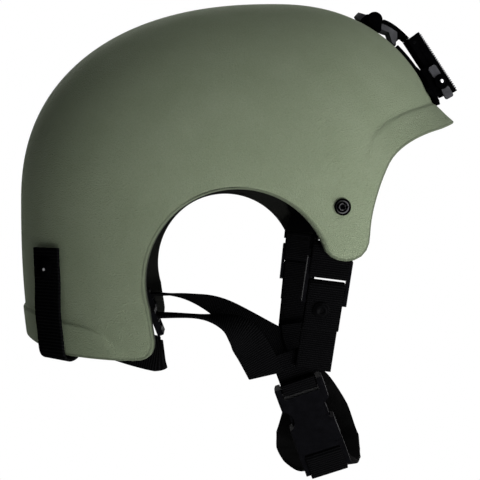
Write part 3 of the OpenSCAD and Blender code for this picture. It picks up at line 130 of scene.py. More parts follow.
# Stage: a pale floor well below the hanging helmet, a white surround, two low lamps at its right
# front, a weak high one, and a fill on its far side.
stageSet = {
    "floorHeight": -0.62,
    "floorRadius": 1.8,
    "floorGlow": 0.9,             # the floor's own light: what is short of 1 takes the shadow
    "floorFade": (0.45, 0.85),    # shares of the radius between which it becomes all its own
    "floorSides": 96,
    "surroundLight": 0.03,
    "aim": (0.0, 0.0, 0.03),
    "lamps": [    # name, azimuth and rise in degrees, distance, width and height in metres, power
        ("side_softbox", (-65, -25), 1.25, (0.6, 0.5), 9.4),
        ("front_softbox", (-35, -25), 1.25, (0.6, 0.5), 4.7),
        ("high_softbox", (-50, 45), 1.25, (0.6, 0.5), 2.8),
        ("far_fill", (97, 20), 1.5, (0.9, 0.7), 10.0),
    ],
}


def addLamp(name, angles, distance, size, power):
    data = bpy.data.lights.new(name, "AREA")
    data.shape = "RECTANGLE"
    data.size, data.size_y = size
    data.energy = power
    azimuth, rise = (math.radians(a) for a in angles)
    way = Vector((math.cos(rise) * math.cos(azimuth), math.cos(rise) * math.sin(azimuth), math.sin(rise)))
    lamp = bpy.data.objects.new(name, data)
    lamp.location = Vector(stageSet["aim"]) + way * distance
    lamp.rotation_euler = way.to_track_quat("Z", "Y").to_euler()
    bpy.context.scene.collection.objects.link(lamp)


def showsBackground(tree):
    # 1 for the rays that see the background: the camera's, and those by way of gloss and glass
    path = addNode(tree, "ShaderNodeLightPath")
    either = addNode(tree, "ShaderNodeMath", {"operation": "MAXIMUM"},
                     {0: path.outputs["Is Camera Ray"], 1: path.outputs["Is Glossy Ray"]})
    return addNode(tree, "ShaderNodeMath", {"operation": "MAXIMUM"},
                   {0: either.outputs[0], 1: path.outputs["Is Transmission Ray"]}).outputs[0]


def makeSurround():
    world = bpy.data.worlds.new("surround")
    bpy.context.scene.world = world
    world.use_nodes = True
    tree = world.node_tree
    tree.nodes.clear()
    dim = addNode(tree, "ShaderNodeBackground",
                  {"Color": toLinear("#f4f6ff"), "Strength": stageSet["surroundLight"]})
    white = addNode(tree, "ShaderNodeBackground", {"Color": (1, 1, 1, 1), "Strength": 1.0})
    mixed = addNode(tree, "ShaderNodeMixShader", None,
                    {0: showsBackground(tree), 1: dim.outputs[0], 2: white.outputs[0]})
    addNode(tree, "ShaderNodeOutputWorld", None, {"Surface": mixed.outputs[0]})


def matPaper():
    # Matt paper sweep: its own light gives most of the white that the camera sees, so that a faint
    # shadow stays.
    material = bpy.data.materials.new("matt_paper_sweep")
    material.use_nodes = True
    tree = material.node_tree
    tree.nodes.clear()
    away = addNode(tree, "ShaderNodeVectorMath", {"operation": "LENGTH"},
                   {0: addNode(tree, "ShaderNodeTexCoord").outputs["Object"]})
    near, far = (share * stageSet["floorRadius"] for share in stageSet["floorFade"])
    fade = addNode(tree, "ShaderNodeMapRange",
                   {"From Min": near, "From Max": far, "To Min": stageSet["floorGlow"], "To Max": 1.0},
                   {"Value": away.outputs["Value"]})
    glow = addNode(tree, "ShaderNodeMath", {"operation": "MULTIPLY"},
                   {0: showsBackground(tree), 1: fade.outputs["Result"]})
    paper = addNode(tree, "ShaderNodeBsdfDiffuse", {"Color": toLinear("#f2f2f0")})
    light = addNode(tree, "ShaderNodeEmission", {"Color": (1, 1, 1, 1)}, {"Strength": glow.outputs[0]})
    both = addNode(tree, "ShaderNodeAddShader", None, {0: paper.outputs[0], 1: light.outputs[0]})
    addNode(tree, "ShaderNodeOutputMaterial", None, {"Surface": both.outputs[0]})
    return material


def makeStage():
    makeSurround()
    radius, sides = stageSet["floorRadius"], stageSet["floorSides"]
    ring = [(radius * math.cos(2 * math.pi * k / sides), radius * math.sin(2 * math.pi * k / sides),
             stageSet["floorHeight"]) for k in range(sides)]
    placedObject("floor", ring, [range(sides)], matPaper(), smooth=False)
    for lamp in stageSet["lamps"]:
        addLamp(*lamp)


makeStage()
print("stage and lamps set")

# Materials.
shellFinish = {
    "olive": "#96a187",
    "oliveLight": "#9ca78d",
    "oliveDark": "#8d9a7e",
    # the inside is olive too; its near black is painted shade
    "inside": "#0c0d0a",
    "rim": 0.55,            # share of the face's tone that the rim keeps: painted shade where the edge turns away
    "grain": 0.75,          # mm across one pebble of the moulded texture
    "grainDepth": 0.5,      # mm, deeper than the real 0.1 so that it shows
    "mottle": 26,           # mm across one cloud of the colour
}


def texturedOlive():
    # Moulded ABS with a textured mould face: a matt olive with a fine pebble and faint clouds of tone.
    material, tree, shader = startMaterial("moulded_abs_olive", shellFinish["olive"], 0.78,
                                           specular=0.12, ior=1.53)
    grain = shellFinish["grain"] * mm
    place = addNode(tree, "ShaderNodeTexCoord").outputs["Object"]
    pebble = addNode(tree, "ShaderNodeTexVoronoi",
                     {"feature": "SMOOTH_F1", "Scale": 1 / grain, "Smoothness": 0.6, "Randomness": 1.0},
                     {"Vector": place})
    fine = addNode(tree, "ShaderNodeTexNoise", {"Scale": 1 / (0.8 * grain), "Detail": 3.0, "Roughness": 0.6},
                   {"Vector": place})
    cloud = addNode(tree, "ShaderNodeTexNoise",
                    {"Scale": 1 / (shellFinish["mottle"] * mm), "Detail": 4.0, "Roughness": 0.55},
                    {"Vector": place})
    speck = addNode(tree, "ShaderNodeMath", {"operation": "MULTIPLY", 1: 0.62}, {0: fine.outputs["Fac"]})
    tone = addNode(tree, "ShaderNodeMath", {"operation": "MULTIPLY_ADD", 1: 0.38},
                   {0: cloud.outputs["Fac"], 2: speck.outputs[0]})
    ramp = addNode(tree, "ShaderNodeValToRGB",
                   {"stops": [(0.34, shellFinish["oliveDark"]), (0.66, shellFinish["oliveLight"])]},
                   {0: tone.outputs[0]})
    # the rim is darkened as painted shade where the edge turns away from the light
    rim = addNode(tree, "ShaderNodeAttribute", {"attribute_name": "rim"})
    rimShade = addNode(tree, "ShaderNodeMapRange", {"To Min": 1.0, "To Max": shellFinish["rim"]},
                   {"Value": rim.outputs["Fac"]})
    toned = addNode(tree, "ShaderNodeVectorMath", {"operation": "SCALE"},
                    {0: ramp.outputs["Color"], "Scale": rimShade.outputs["Result"]})
    # the inside is painted near black as shade, though it is olive
    inside = addNode(tree, "ShaderNodeAttribute", {"attribute_name": "inside"})
    colour = addNode(tree, "ShaderNodeMix", {"data_type": "RGBA", 7: toLinear(shellFinish["inside"])},
                     {0: inside.outputs["Fac"], 6: toned.outputs[0]})
    height = addNode(tree, "ShaderNodeMath", {"operation": "MULTIPLY_ADD", 1: 0.7},
                     {0: pebble.outputs["Distance"], 2: fine.outputs["Fac"]})
    bump = addNode(tree, "ShaderNodeBump", {"Strength": 1.0, "Distance": shellFinish["grainDepth"] * mm},
                   {"Height": height.outputs[0]})
    tree.links.new(colour.outputs[2], shader.inputs["Base Color"])
    tree.links.new(bump.outputs[0], shader.inputs["Normal"])
    return material


webbingFinish = {
    "thread": "#0d0d0e",
    "threadDark": "#050506",
    "threadLight": "#161617",
    "rib": 1.25,            # mm from one weft rib to the next
    "tabRib": 1.9,          # the same on the coarser rear tabs
    "yarn": 0.9,            # mm across one warp yarn
    "tufts": 1.4,           # tufts of fuzz in a millimetre
    "ribDepth": 0.25,       # mm
}


def wovenWebbing():
    # Woven polyester webbing: matt black with cross ribs and fine lengthwise yarns.
    material, tree, shader = startMaterial("woven_polyester_webbing", webbingFinish["thread"], 0.85,
                                           specular=0.0)
    uv = addNode(tree, "ShaderNodeUVMap", {"uv_map": "cut"})
    split = addNode(tree, "ShaderNodeSeparateXYZ", None, {0: uv.outputs[0]})
    waves = []
    for spacing, way in (("rib", "Y"), ("yarn", "X")):
        turn = addNode(tree, "ShaderNodeMath",
                       {"operation": "MULTIPLY", 1: 2 * math.pi / (webbingFinish[spacing] * mm)},
                       {0: split.outputs[way]})
        waves.append(addNode(tree, "ShaderNodeMath", {"operation": "SINE"}, {0: turn.outputs[0]}))
    rib, yarn = waves
    fuzz = addNode(tree, "ShaderNodeTexNoise", {"Scale": webbingFinish["tufts"] / mm, "Detail": 2.0},
                   {"Vector": uv.outputs[0]})
    crossed = addNode(tree, "ShaderNodeMath", {"operation": "MULTIPLY_ADD", 1: 0.35},
                      {0: yarn.outputs[0], 2: rib.outputs[0]})
    weave = addNode(tree, "ShaderNodeMath", {"operation": "MULTIPLY_ADD", 1: 0.8},
                    {0: fuzz.outputs["Fac"], 2: crossed.outputs[0]})
    tone = addNode(tree, "ShaderNodeMapRange", {"From Min": -1.0, "From Max": 2.0},
                   {"Value": weave.outputs[0]})
    ramp = addNode(tree, "ShaderNodeValToRGB",
                   {"stops": [(0.0, webbingFinish["threadDark"]), (1.0, webbingFinish["threadLight"])]},
                   {0: tone.outputs["Result"]})
    bump = addNode(tree, "ShaderNodeBump", {"Strength": 0.7, "Distance": webbingFinish["ribDepth"] * mm},
                   {"Height": weave.outputs[0]})
    tree.links.new(ramp.outputs["Color"], shader.inputs["Base Color"])
    tree.links.new(bump.outputs[0], shader.inputs["Normal"])
    return material


def speckled(material, tree, shader, light, dark, size, bumpDepth, roughLow, roughHigh):
    # a fine grain in relief and sheen, size and bumpDepth in mm, under patches of tone nine grains wide
    place = addNode(tree, "ShaderNodeTexCoord").outputs["Object"]
    grain = addNode(tree, "ShaderNodeTexNoise", {"Scale": 1 / (size * mm), "Detail": 4.0, "Roughness": 0.6},
                    {"Vector": place})
    cloud = addNode(tree, "ShaderNodeTexNoise", {"Scale": 1 / (9 * size * mm), "Detail": 3.0},
                    {"Vector": place})
    ramp = addNode(tree, "ShaderNodeValToRGB", {"stops": [(0.3, dark), (0.7, light)]},
                   {0: cloud.outputs["Fac"]})
    rough = addNode(tree, "ShaderNodeMapRange", {"To Min": roughLow, "To Max": roughHigh},
                    {"Value": grain.outputs["Fac"]})
    bump = addNode(tree, "ShaderNodeBump", {"Strength": 0.5, "Distance": bumpDepth * mm},
                   {"Height": grain.outputs["Fac"]})
    tree.links.new(ramp.outputs["Color"], shader.inputs["Base Color"])
    tree.links.new(rough.outputs["Result"], shader.inputs["Roughness"])
    tree.links.new(bump.outputs[0], shader.inputs["Normal"])
    return material


def mouldedNylon():
    # Glass-filled nylon, injection moulded: deep black with a dull skin and a trace of flow mottle.
    return speckled(*startMaterial("moulded_nylon_black", "#050506", 0.62, specular=0.0, ior=1.53),
                    "#080809", "#030304", 0.35, 0.05, 0.54, 0.7)


def mouldedAcetal():
    # Acetal copolymer, injection moulded: slightly blue black with a soft waxy shine.
    return speckled(*startMaterial("moulded_acetal_black", "#0c0c0e", 0.4, specular=0.004, ior=1.48),
                    "#0f0f12", "#09090b", 0.5, 0.03, 0.34, 0.46)


def coatedZinc():
    # Die-cast zinc under a black powder coat: near black with a fine orange peel.
    return speckled(*startMaterial("coated_zinc_black", "#050506", 0.5, specular=0.0),
                    "#060607", "#030304", 0.4, 0.04, 0.42, 0.56)


def paintedLightMetal(name, coat=None, light="#5c5c60", dark="#4a4a4d"):
    # Black coated metal with painted light: a flat dark grey is painted where faces catch the lamps, and for
    # painted highlights and glints. Where coat is above nought the black powder coat is still on it.
    material, tree, shader = startMaterial(name, light, 0.6, specular=0.0)
    speckled(material, tree, shader, light, dark, 0.5, 0.05, 0.5, 0.7)
    if coat:
        place = addNode(tree, "ShaderNodeTexCoord").outputs["Object"]
        litGrey = shader.inputs["Base Color"].links[0].from_socket
        mixed = addNode(tree, "ShaderNodeMix", {"data_type": "RGBA", 7: toLinear("#050506")},
                        {0: coat(tree, place), 6: litGrey})
        tree.links.new(mixed.outputs[2], shader.inputs["Base Color"])
    return material


# Where the black parts take painted light, lit grey and painted highlights and glints, in mm. A line is a
# direction in X and Z with the two distances along it that the change lies between, and a ring is a centre in X
# and Z with two radii.
paintedLightSet = {
    "armLine": (0.931, -0.364, 42.5, 43.1),
    "leverBoss": (130.8, 119.85, 5.0, 4.6),
    "plateFace": (0.8363, 0.5483, 180.7, 180.5),
    "plateLength": 44.2,
    "plateRibs": 29,
    "ribGap": 0.25,
    "capCrown": (-110.4, 5.5, 0.5, 1.0),
    "screw": (54.2, 41.2),
    "screwCrown": (3.25, 0.3),    # radius and half width of the painted glint ring
    "screwRecess": (1.7, 0.18),
}


def fromAxis(tree, place, x, z):
    # how far each point is from an axis that runs across the helmet
    flat = addNode(tree, "ShaderNodeVectorMath", {"operation": "MULTIPLY", 1: (1.0, 0.0, 1.0)}, {0: place})
    return addNode(tree, "ShaderNodeVectorMath", {"operation": "DISTANCE", 1: (x * mm, 0.0, z * mm)},
                   {0: flat.outputs[0]}).outputs["Value"]


def pastLine(tree, place, x, z, start, end):
    along = addNode(tree, "ShaderNodeVectorMath", {"operation": "DOT_PRODUCT", 1: (x, 0.0, z)}, {0: place})
    return addNode(tree, "ShaderNodeMapRange", {"From Min": start * mm, "From Max": end * mm},
                   {"Value": along.outputs["Value"]}).outputs["Result"]


def pastRing(tree, place, x, z, start, end):
    return addNode(tree, "ShaderNodeMapRange", {"From Min": start * mm, "From Max": end * mm},
                   {"Value": fromAxis(tree, place, x, z)}).outputs["Result"]


def beyondBend(tree, place):
    # the arm below its bend, whose grey is painted light: past a slanting line across its side
    return pastLine(tree, place, *paintedLightSet["armLine"])


def roundPivot(tree, place):
    # the lever's round boss stays black; the grey of its tabs is painted light
    return pastRing(tree, place, *paintedLightSet["leverBoss"])


def ribTopHighlights(tree, place):
    # the front plate is black all but the tops of its ribs, which carry a painted highlight, and the black
    # fills the gaps between them
    under = pastLine(tree, place, *paintedLightSet["plateFace"])
    x, z = paintedLightSet["plateFace"][:2]
    along = addNode(tree, "ShaderNodeVectorMath", {"operation": "DOT_PRODUCT", 1: (-z, 0.0, x)}, {0: place})
    pitch = paintedLightSet["plateLength"] / paintedLightSet["plateRibs"] * mm
    turn = addNode(tree, "ShaderNodeMath", {"operation": "MULTIPLY", 1: 2 * math.pi / pitch},
                   {0: along.outputs["Value"]})
    wave = addNode(tree, "ShaderNodeMath", {"operation": "SINE"}, {0: turn.outputs[0]})
    gap = addNode(tree, "ShaderNodeMath", {"operation": "GREATER_THAN", 1: paintedLightSet["ribGap"]},
                  {0: wave.outputs[0]})
    return addNode(tree, "ShaderNodeMath", {"operation": "MAXIMUM"}, {0: under, 1: gap.outputs[0]}).outputs[0]


def capGlint(tree, place):
    # a painted glint on the snap caps' crowns
    return pastRing(tree, place, *paintedLightSet["capCrown"])


def screwRings(tree, place):
    # painted glint rings on the screw's crown and the lip of its recess
    far = fromAxis(tree, place, *paintedLightSet["screw"])
    rings = []
    for radius, half in (paintedLightSet["screwCrown"], paintedLightSet["screwRecess"]):
        rings.append(addNode(tree, "ShaderNodeMath", {"operation": "COMPARE", 1: radius * mm, 2: half * mm},
                             {0: far}).outputs[0])
    either = addNode(tree, "ShaderNodeMath", {"operation": "MAXIMUM"}, {0: rings[0], 1: rings[1]})
    return addNode(tree, "ShaderNodeMath", {"operation": "SUBTRACT", 0: 1.0}, {1: either.outputs[0]}).outputs[0]


def darkSteel():
    # Blackened steel screws: near black with faint patches of tone and a burnished look.
    return speckled(*startMaterial("blackened_steel", "#0a0a0b", 0.34, metallic=0.5, specular=0.0),
                    "#0d0d0e", "#070707", 0.5, 0.02, 0.28, 0.42)


def platedSteel():
    # Zinc-plated steel pins and nuts: a grey metal with a light cloudy bloom.
    return speckled(*startMaterial("plated_steel", "#8f9194", 0.35, metallic=1.0),
                    "#9b9da0", "#7d7f83", 0.6, 0.02, 0.28, 0.42)


def bareSteel():
    # Turned steel left bare: a bright soft-edged highlight.
    return speckled(*startMaterial("turned_steel_bare", "#e4e4e6", 0.3, metallic=1.0),
                    "#ececee", "#d2d2d4", 0.6, 0.02, 0.24, 0.36)


def washerRubber():
    # Moulded rubber: flat black with a dusty bloom.
    return speckled(*startMaterial("moulded_rubber", "#080808", 0.8, specular=0.0),
                    "#0b0b0a", "#060606", 0.4, 0.05, 0.72, 0.88)


def lacqueredBrass():
    # Lacquered brass snap cap: gloss black enamel that takes a small hard highlight.
    return speckled(*startMaterial("enamelled_brass_black", "#040405", 0.2, specular=0.01),
                    "#060607", "#030304", 1.2, 0.02, 0.16, 0.26)


padFinish = {
    "nap": "#131313",
    "napDark": "#0a0a0a",
    "pile": 0.8,         # mm from one tuft to the next
    "pileDepth": 0.35,
    "brushing": 0.09,    # brushed patches in a millimetre
}


def brushedPadCloth():
    # Brushed nylon loop cloth over foam: soft black nap with a short pile that catches grazing light.
    material, tree, shader = startMaterial("brushed_nylon_loop", padFinish["nap"], 0.95, specular=0.0,
                                           Sheen_Weight=0.02, Sheen_Roughness=0.6)
    place = addNode(tree, "ShaderNodeTexCoord").outputs["Object"]
    pile = addNode(tree, "ShaderNodeTexVoronoi", {"Scale": 1 / (padFinish["pile"] * mm)}, {"Vector": place})
    cloud = addNode(tree, "ShaderNodeTexNoise", {"Scale": padFinish["brushing"] / mm, "Detail": 4.0},
                    {"Vector": place})
    ramp = addNode(tree, "ShaderNodeValToRGB",
                   {"stops": [(0.35, padFinish["napDark"]), (0.68, padFinish["nap"])]},
                   {0: cloud.outputs["Fac"]})
    bump = addNode(tree, "ShaderNodeBump", {"Strength": 0.8, "Distance": padFinish["pileDepth"] * mm},
                   {"Height": pile.outputs["Distance"]})
    tree.links.new(ramp.outputs["Color"], shader.inputs["Base Color"])
    tree.links.new(bump.outputs[0], shader.inputs["Normal"])
    return material


olive = texturedOlive()
webbing = wovenWebbing()
nylon = mouldedNylon()
acetal = mouldedAcetal()
zinc = coatedZinc()
# the grey on these black metal parts is painted light: lit faces, highlights and glints
litZincGrey = paintedLightMetal("zinc_grey_painted_lit")
armZinc = paintedLightMetal("arm_zinc_painted_lit_side", beyondBend)
leverZinc = paintedLightMetal("lever_zinc_painted_lit_tabs", roundPivot)
plateZinc = paintedLightMetal("plate_zinc_painted_rib_highlights", ribTopHighlights, "#a6a6a8", "#8f8f92")
screwSteel = paintedLightMetal("blackened_steel_painted_glints", screwRings, "#747476", "#5c5c5e")
capBrass = paintedLightMetal("cap_brass_painted_glint", capGlint, "#dcdcde", "#c4c4c6")
steel = darkSteel()
plated = platedSteel()
rubber = washerRubber()
enamel = lacqueredBrass()
padCloth = brushedPadCloth()
print("materials made")

# Shell form. The curves and sizes repeat the part's own, in millimetres.
shellSet = {
    "centre": (24.4, 0.0, 44.6),
    "halfWidth": 115.0,
    "rearReach": 157.6,
    "frontReach": 108.8,
    "crownRise": 123.1,
    "skirtDepth": 260.0,
    "sidePower": 2.29,
    "frontPower": 2.2,
    "wall": 5.0,
    "bandProud": 1.4,
    "browLip": 8.4,
    "earCentre": (-1.6, 0.4),
    "earRadius": 50.3,
    "rimRadius": 1.25,
    "rimReach": 7.0,        # how far in from the edge the skin makes room for the rim
    "rimSteps": 6,
    "rimMiddle": 0.35,      # share of the inside's painted shade along the rim's middle
    "rows": 46,
    "domeColumns": 116,
}
# The raised bands. Shares run from the ear cut, 0, to the middle line, 1, or across a band.
bandSet = {
    "stepWidest": 0.70,         # share of the brow band where its step starts, when it is spread out
    "stepCrisper": 0.17,        # how much later it starts where it is crisp
    "stepEnd": 0.99,
    "crisp": (0.5, 0.74),
    "browFade": (0.34, 0.66),
    "browHeight": 0.42,         # share of the full height
    "lipSlow": (0.35, 0.5),     # the brow's lip starts slowly at the side, and grows fast to the front
    "lipFast": (0.5, 1),
    "lipSlowShare": 0.1,
    "napeRise": 0.11,           # share of the nape band that its step takes
    "napeEnd": (-80.2, -25.1),  # a point on the band's slanting end, and the way into the band
    "napeInto": (-0.71, -0.70),
    "napeFade": (-1.0, 1.2),    # mm
}
shellCentre = np.array(shellSet["centre"])
mirrorY = np.array([1.0, -1.0, 1.0])    # from the wearer's right to the left


def sideSum(d):
    reach = np.where(d[..., 0] < 0, shellSet["rearReach"], shellSet["frontReach"])
    rise = np.where(d[..., 2] < 0, shellSet["skirtDepth"], shellSet["crownRise"])
    power = shellSet["sidePower"]
    return (np.abs(d[..., 0]) / reach) ** power + (np.abs(d[..., 2]) / rise) ** power


def halfWidthAt(x, z):
    d = np.stack([x - shellCentre[0], np.zeros_like(x), z - shellCentre[2]], -1)
    share = np.maximum(0, 1 - sideSum(d) ** (shellSet["frontPower"] / shellSet["sidePower"]))
    return shellSet["halfWidth"] * share ** (1 / shellSet["frontPower"])


def shellNormal(p):
    d = np.asarray(p, float) - shellCentre
    s = np.maximum(sideSum(d), 1e-6)
    sp, fp = shellSet["sidePower"], shellSet["frontPower"]
    m = s ** (fp / sp - 1)
    reach = np.where(d[..., 0] < 0, shellSet["rearReach"], shellSet["frontReach"])
    rise = np.where(d[..., 2] < 0, shellSet["skirtDepth"], shellSet["crownRise"])
    g = np.stack([
        m * np.abs(d[..., 0]) ** (sp - 1) / reach ** sp * np.sign(d[..., 0]),
        np.abs(d[..., 1]) ** (fp - 1) / shellSet["halfWidth"] ** fp * np.sign(d[..., 1]),
        m * np.abs(d[..., 2]) ** (sp - 1) / rise ** sp * np.sign(d[..., 2])], -1)
    return g / np.linalg.norm(g, axis=-1, keepdims=True)


def onShell(azimuth, rise, proud=0.0):
    a, e = np.radians(azimuth), np.radians(rise)
    d = np.stack([np.cos(e) * np.cos(a), np.cos(e) * np.sin(a), np.sin(e)], -1)
    sp, fp = shellSet["sidePower"], shellSet["frontPower"]
    reach = (sideSum(d) ** (fp / sp) + (np.abs(d[..., 1]) / shellSet["halfWidth"]) ** fp) ** (-1 / fp)
    p = shellCentre + d * np.asarray(reach)[..., None]
    return p + shellNormal(p) * np.asarray(proud)[..., None]


def chained(parts, steps=24):
    # cubic curves end to end, as points with the share of the whole run at each
    points = []
    for i, p in enumerate(np.array(parts, float)):
        for k in range(0 if i == 0 else 1, steps + 1):
            u = k / steps
            points.append((1 - u) ** 3 * p[0] + 3 * u * (1 - u) ** 2 * p[1]
                          + 3 * u * u * (1 - u) * p[2] + u ** 3 * p[3])
    points = np.array(points)
    run = np.concatenate([[0], np.cumsum(np.linalg.norm(np.diff(points, axis=0), axis=1))])
    return run / run[-1], points


def along(curve, t):
    return np.stack([np.interp(t, curve[0], curve[1][:, 0]), np.interp(t, curve[0], curve[1][:, 1])], -1)


def earCut(angle):
    a = np.radians(angle)
    return np.stack([shellSet["earCentre"][0] + shellSet["earRadius"] * np.cos(a),
                     shellSet["earCentre"][1] + shellSet["earRadius"] * np.sin(a)], -1)


def middleLine(angle):
    # the shell's outline in its middle plane
    a = np.radians(angle)
    c, s = np.cos(a), np.sin(a)
    c = np.sign(c) * np.abs(c) ** (2 / shellSet["sidePower"])
    s = np.sign(s) * np.abs(s) ** (2 / shellSet["sidePower"])
    return np.stack([shellCentre[0] + c * np.where(c < 0, shellSet["rearReach"], shellSet["frontReach"]),
                     shellCentre[2] + s * np.where(s < 0, shellSet["skirtDepth"], shellSet["crownRise"])], -1)


# Each border runs from the ear cut to the middle line, and has its angle at either.
borderAngles = {
    "browEdge": (20, 19.8),
    "browCrease": (30, 26.5),
    "napeCrease": (187, 191.3),
    "napeEdge": (197, 195.4),
}
cheekFront, browTurn, browSide = (70.7, 25), (80.3, 64), (111.7, 85.8)
creaseSide, creaseTurn = (66, 48), (72.6, 82.5)
napeLow, napeTurn = (-72, -31), (-90, -24.4)
flapFront, flapCorner, flapBottom = (-47.2, -30), (-57, -43.4), (-95.5, -43.4)
borders = {
    "browEdge": chained([
        [earCut(20), (50.5, 9.5), (70, 8.5), cheekFront],
        [cheekFront, (71.2, 38), (75.5, 52), browTurn],
        [browTurn, (84.5, 73.5), (96, 80.5), browSide],
        [browSide, (118.5, 88.7), (125, 92.3), middleLine(19.8)]]),
    "browCrease": chained([
        [earCut(30), (50, 17), (66, 24), creaseSide],
        [creaseSide, (66, 60), (65.5, 74), creaseTurn],
        [creaseTurn, (81, 92), (102, 97.5), middleLine(26.5)]]),
    "napeCrease": chained([
        [earCut(187), (-55, -24), (-61, -36), napeLow],
        [napeLow, (-77, -28.5), (-82, -25.3), napeTurn],
        [napeTurn, (-103, -22.8), (-120, -20), middleLine(191.3)]]),
    "napeEdge": chained([
        [earCut(197), (-49, -20), (-48, -25), flapFront],
        [flapFront, (-45.8, -37), (-48.5, -43.2), flapCorner],
        [flapCorner, (-68, -43.8), (-84, -43.8), flapBottom],
        [flapBottom, (-108, -43), (-119, -38.5), middleLine(195.4)]]),
}


def patchPoint(left, right, s, t):
    # a surface patch between two borders, the ear cut and the middle line
    la, ra = borderAngles[left], borderAngles[right]
    s, t = s[:, None, None], t[None, :, None]
    low = earCut(la[0] + s[..., 0] * (ra[0] - la[0]))
    top = middleLine(la[1] + s[..., 0] * (ra[1] - la[1]))
    cl, cr = along(borders[left], t[..., 0]), along(borders[right], t[..., 0])
    return ((1 - s) * cl + s * cr + (1 - t) * low + t * top
            - (1 - s) * (1 - t) * earCut(la[0]) - s * (1 - t) * earCut(ra[0])
            - (1 - s) * t * middleLine(la[1]) - s * t * middleLine(ra[1]))


def plainRamp(v, a, b):
    return np.clip((v - a) / (b - a), 0, 1)


def smoothRamp(v, a, b):
    u = plainRamp(v, a, b)
    return u * u * (3 - 2 * u)


def shellSkins():
    browS = np.array([0, 0.05, 0.12, 0.22, 0.34, 0.46, 0.57, 0.67, 0.75, 0.81,
                      0.855, 0.885, 0.91, 0.935, 0.96, 0.98, 1.0])
    napeS = np.array([0.0, 0.02, 0.04, 0.06, 0.08, 0.1, 0.13, 0.18, 0.25, 0.34,
                      0.44, 0.55, 0.66, 0.77, 0.87, 0.95, 1.0])
    domeS = np.arange(1, shellSet["domeColumns"]) / shellSet["domeColumns"]
    rows = shellSet["rows"]
    t = np.sin(np.pi / 2 * np.arange(rows + 1) / rows)
    plan = np.concatenate([patchPoint("browEdge", "browCrease", browS, t),
                           patchPoint("browCrease", "napeCrease", domeS, t),
                           patchPoint("napeCrease", "napeEdge", napeS, t)])
    y = halfWidthAt(plan[..., 0], plan[..., 1])
    y[:, -1] = 0
    half = np.stack([plan[..., 0], -y, plan[..., 1]], -1)
    normal = shellNormal(half)
    band = np.zeros(plan.shape[:2])
    # the brow band's step is crisp at the front and spreads out and dies away towards the cheek
    start = bandSet["stepWidest"] + bandSet["stepCrisper"] * smoothRamp(t, *bandSet["crisp"])
    browPart, napePart = slice(0, len(browS)), slice(-len(napeS), None)
    band[browPart] = ((1 - smoothRamp(browS[:, None], start[None], bandSet["stepEnd"]))
                      * smoothRamp(t, *bandSet["browFade"])[None] * bandSet["browHeight"])
    # the nape band stops at a slanting step that runs down to the flap's low edge
    past = sum((plan[napePart][..., k] - bandSet["napeEnd"][k]) * bandSet["napeInto"][k] for k in (0, 1))
    band[napePart] = (smoothRamp(napeS, 0.0, bandSet["napeRise"])[:, None]
                      * smoothRamp(past, *bandSet["napeFade"]))
    lip = np.zeros(plan.shape[:2])
    slow = bandSet["lipSlowShare"]
    reach = slow * plainRamp(t, *bandSet["lipSlow"]) + (1 - slow) * plainRamp(t, *bandSet["lipFast"])
    lip[browPart] = (1 - browS)[:, None] * reach[None] * shellSet["browLip"]
    level = normal * [1, 1, 0]
    level /= np.maximum(np.linalg.norm(level, axis=-1, keepdims=True), 1e-6)
    base = half + lip[..., None] * level
    outer = base + normal * (band * shellSet["bandProud"])[..., None]
    inner = base - normal * shellSet["wall"]
    return [np.concatenate([skin, skin[:, -2::-1] * mirrorY], axis=1) for skin in (outer, inner)]


def drawnBack(points, border, out):
    # points near the border move in along the skin, so that it stops short of the edge by the rim's radius
    r, reach = shellSet["rimRadius"], shellSet["rimReach"]
    nearest = np.full(len(points), 1e9)
    way = np.zeros_like(points)
    for k in range(len(border)):
        a, b = border[k - 1], border[k]
        u = np.clip((points - a) @ (b - a) / max((b - a) @ (b - a), 1e-12), 0, 1)[:, None]
        d = np.linalg.norm(points - a - u * (b - a), axis=1)
        closer = d < nearest
        nearest[closer] = d[closer]
        way[closer] = (out[k - 1] + u * (out[k] - out[k - 1]))[closer]
    way /= np.linalg.norm(way, axis=1, keepdims=True)
    return points - way * (r * np.clip(1 - nearest / reach, 0, None))[:, None]


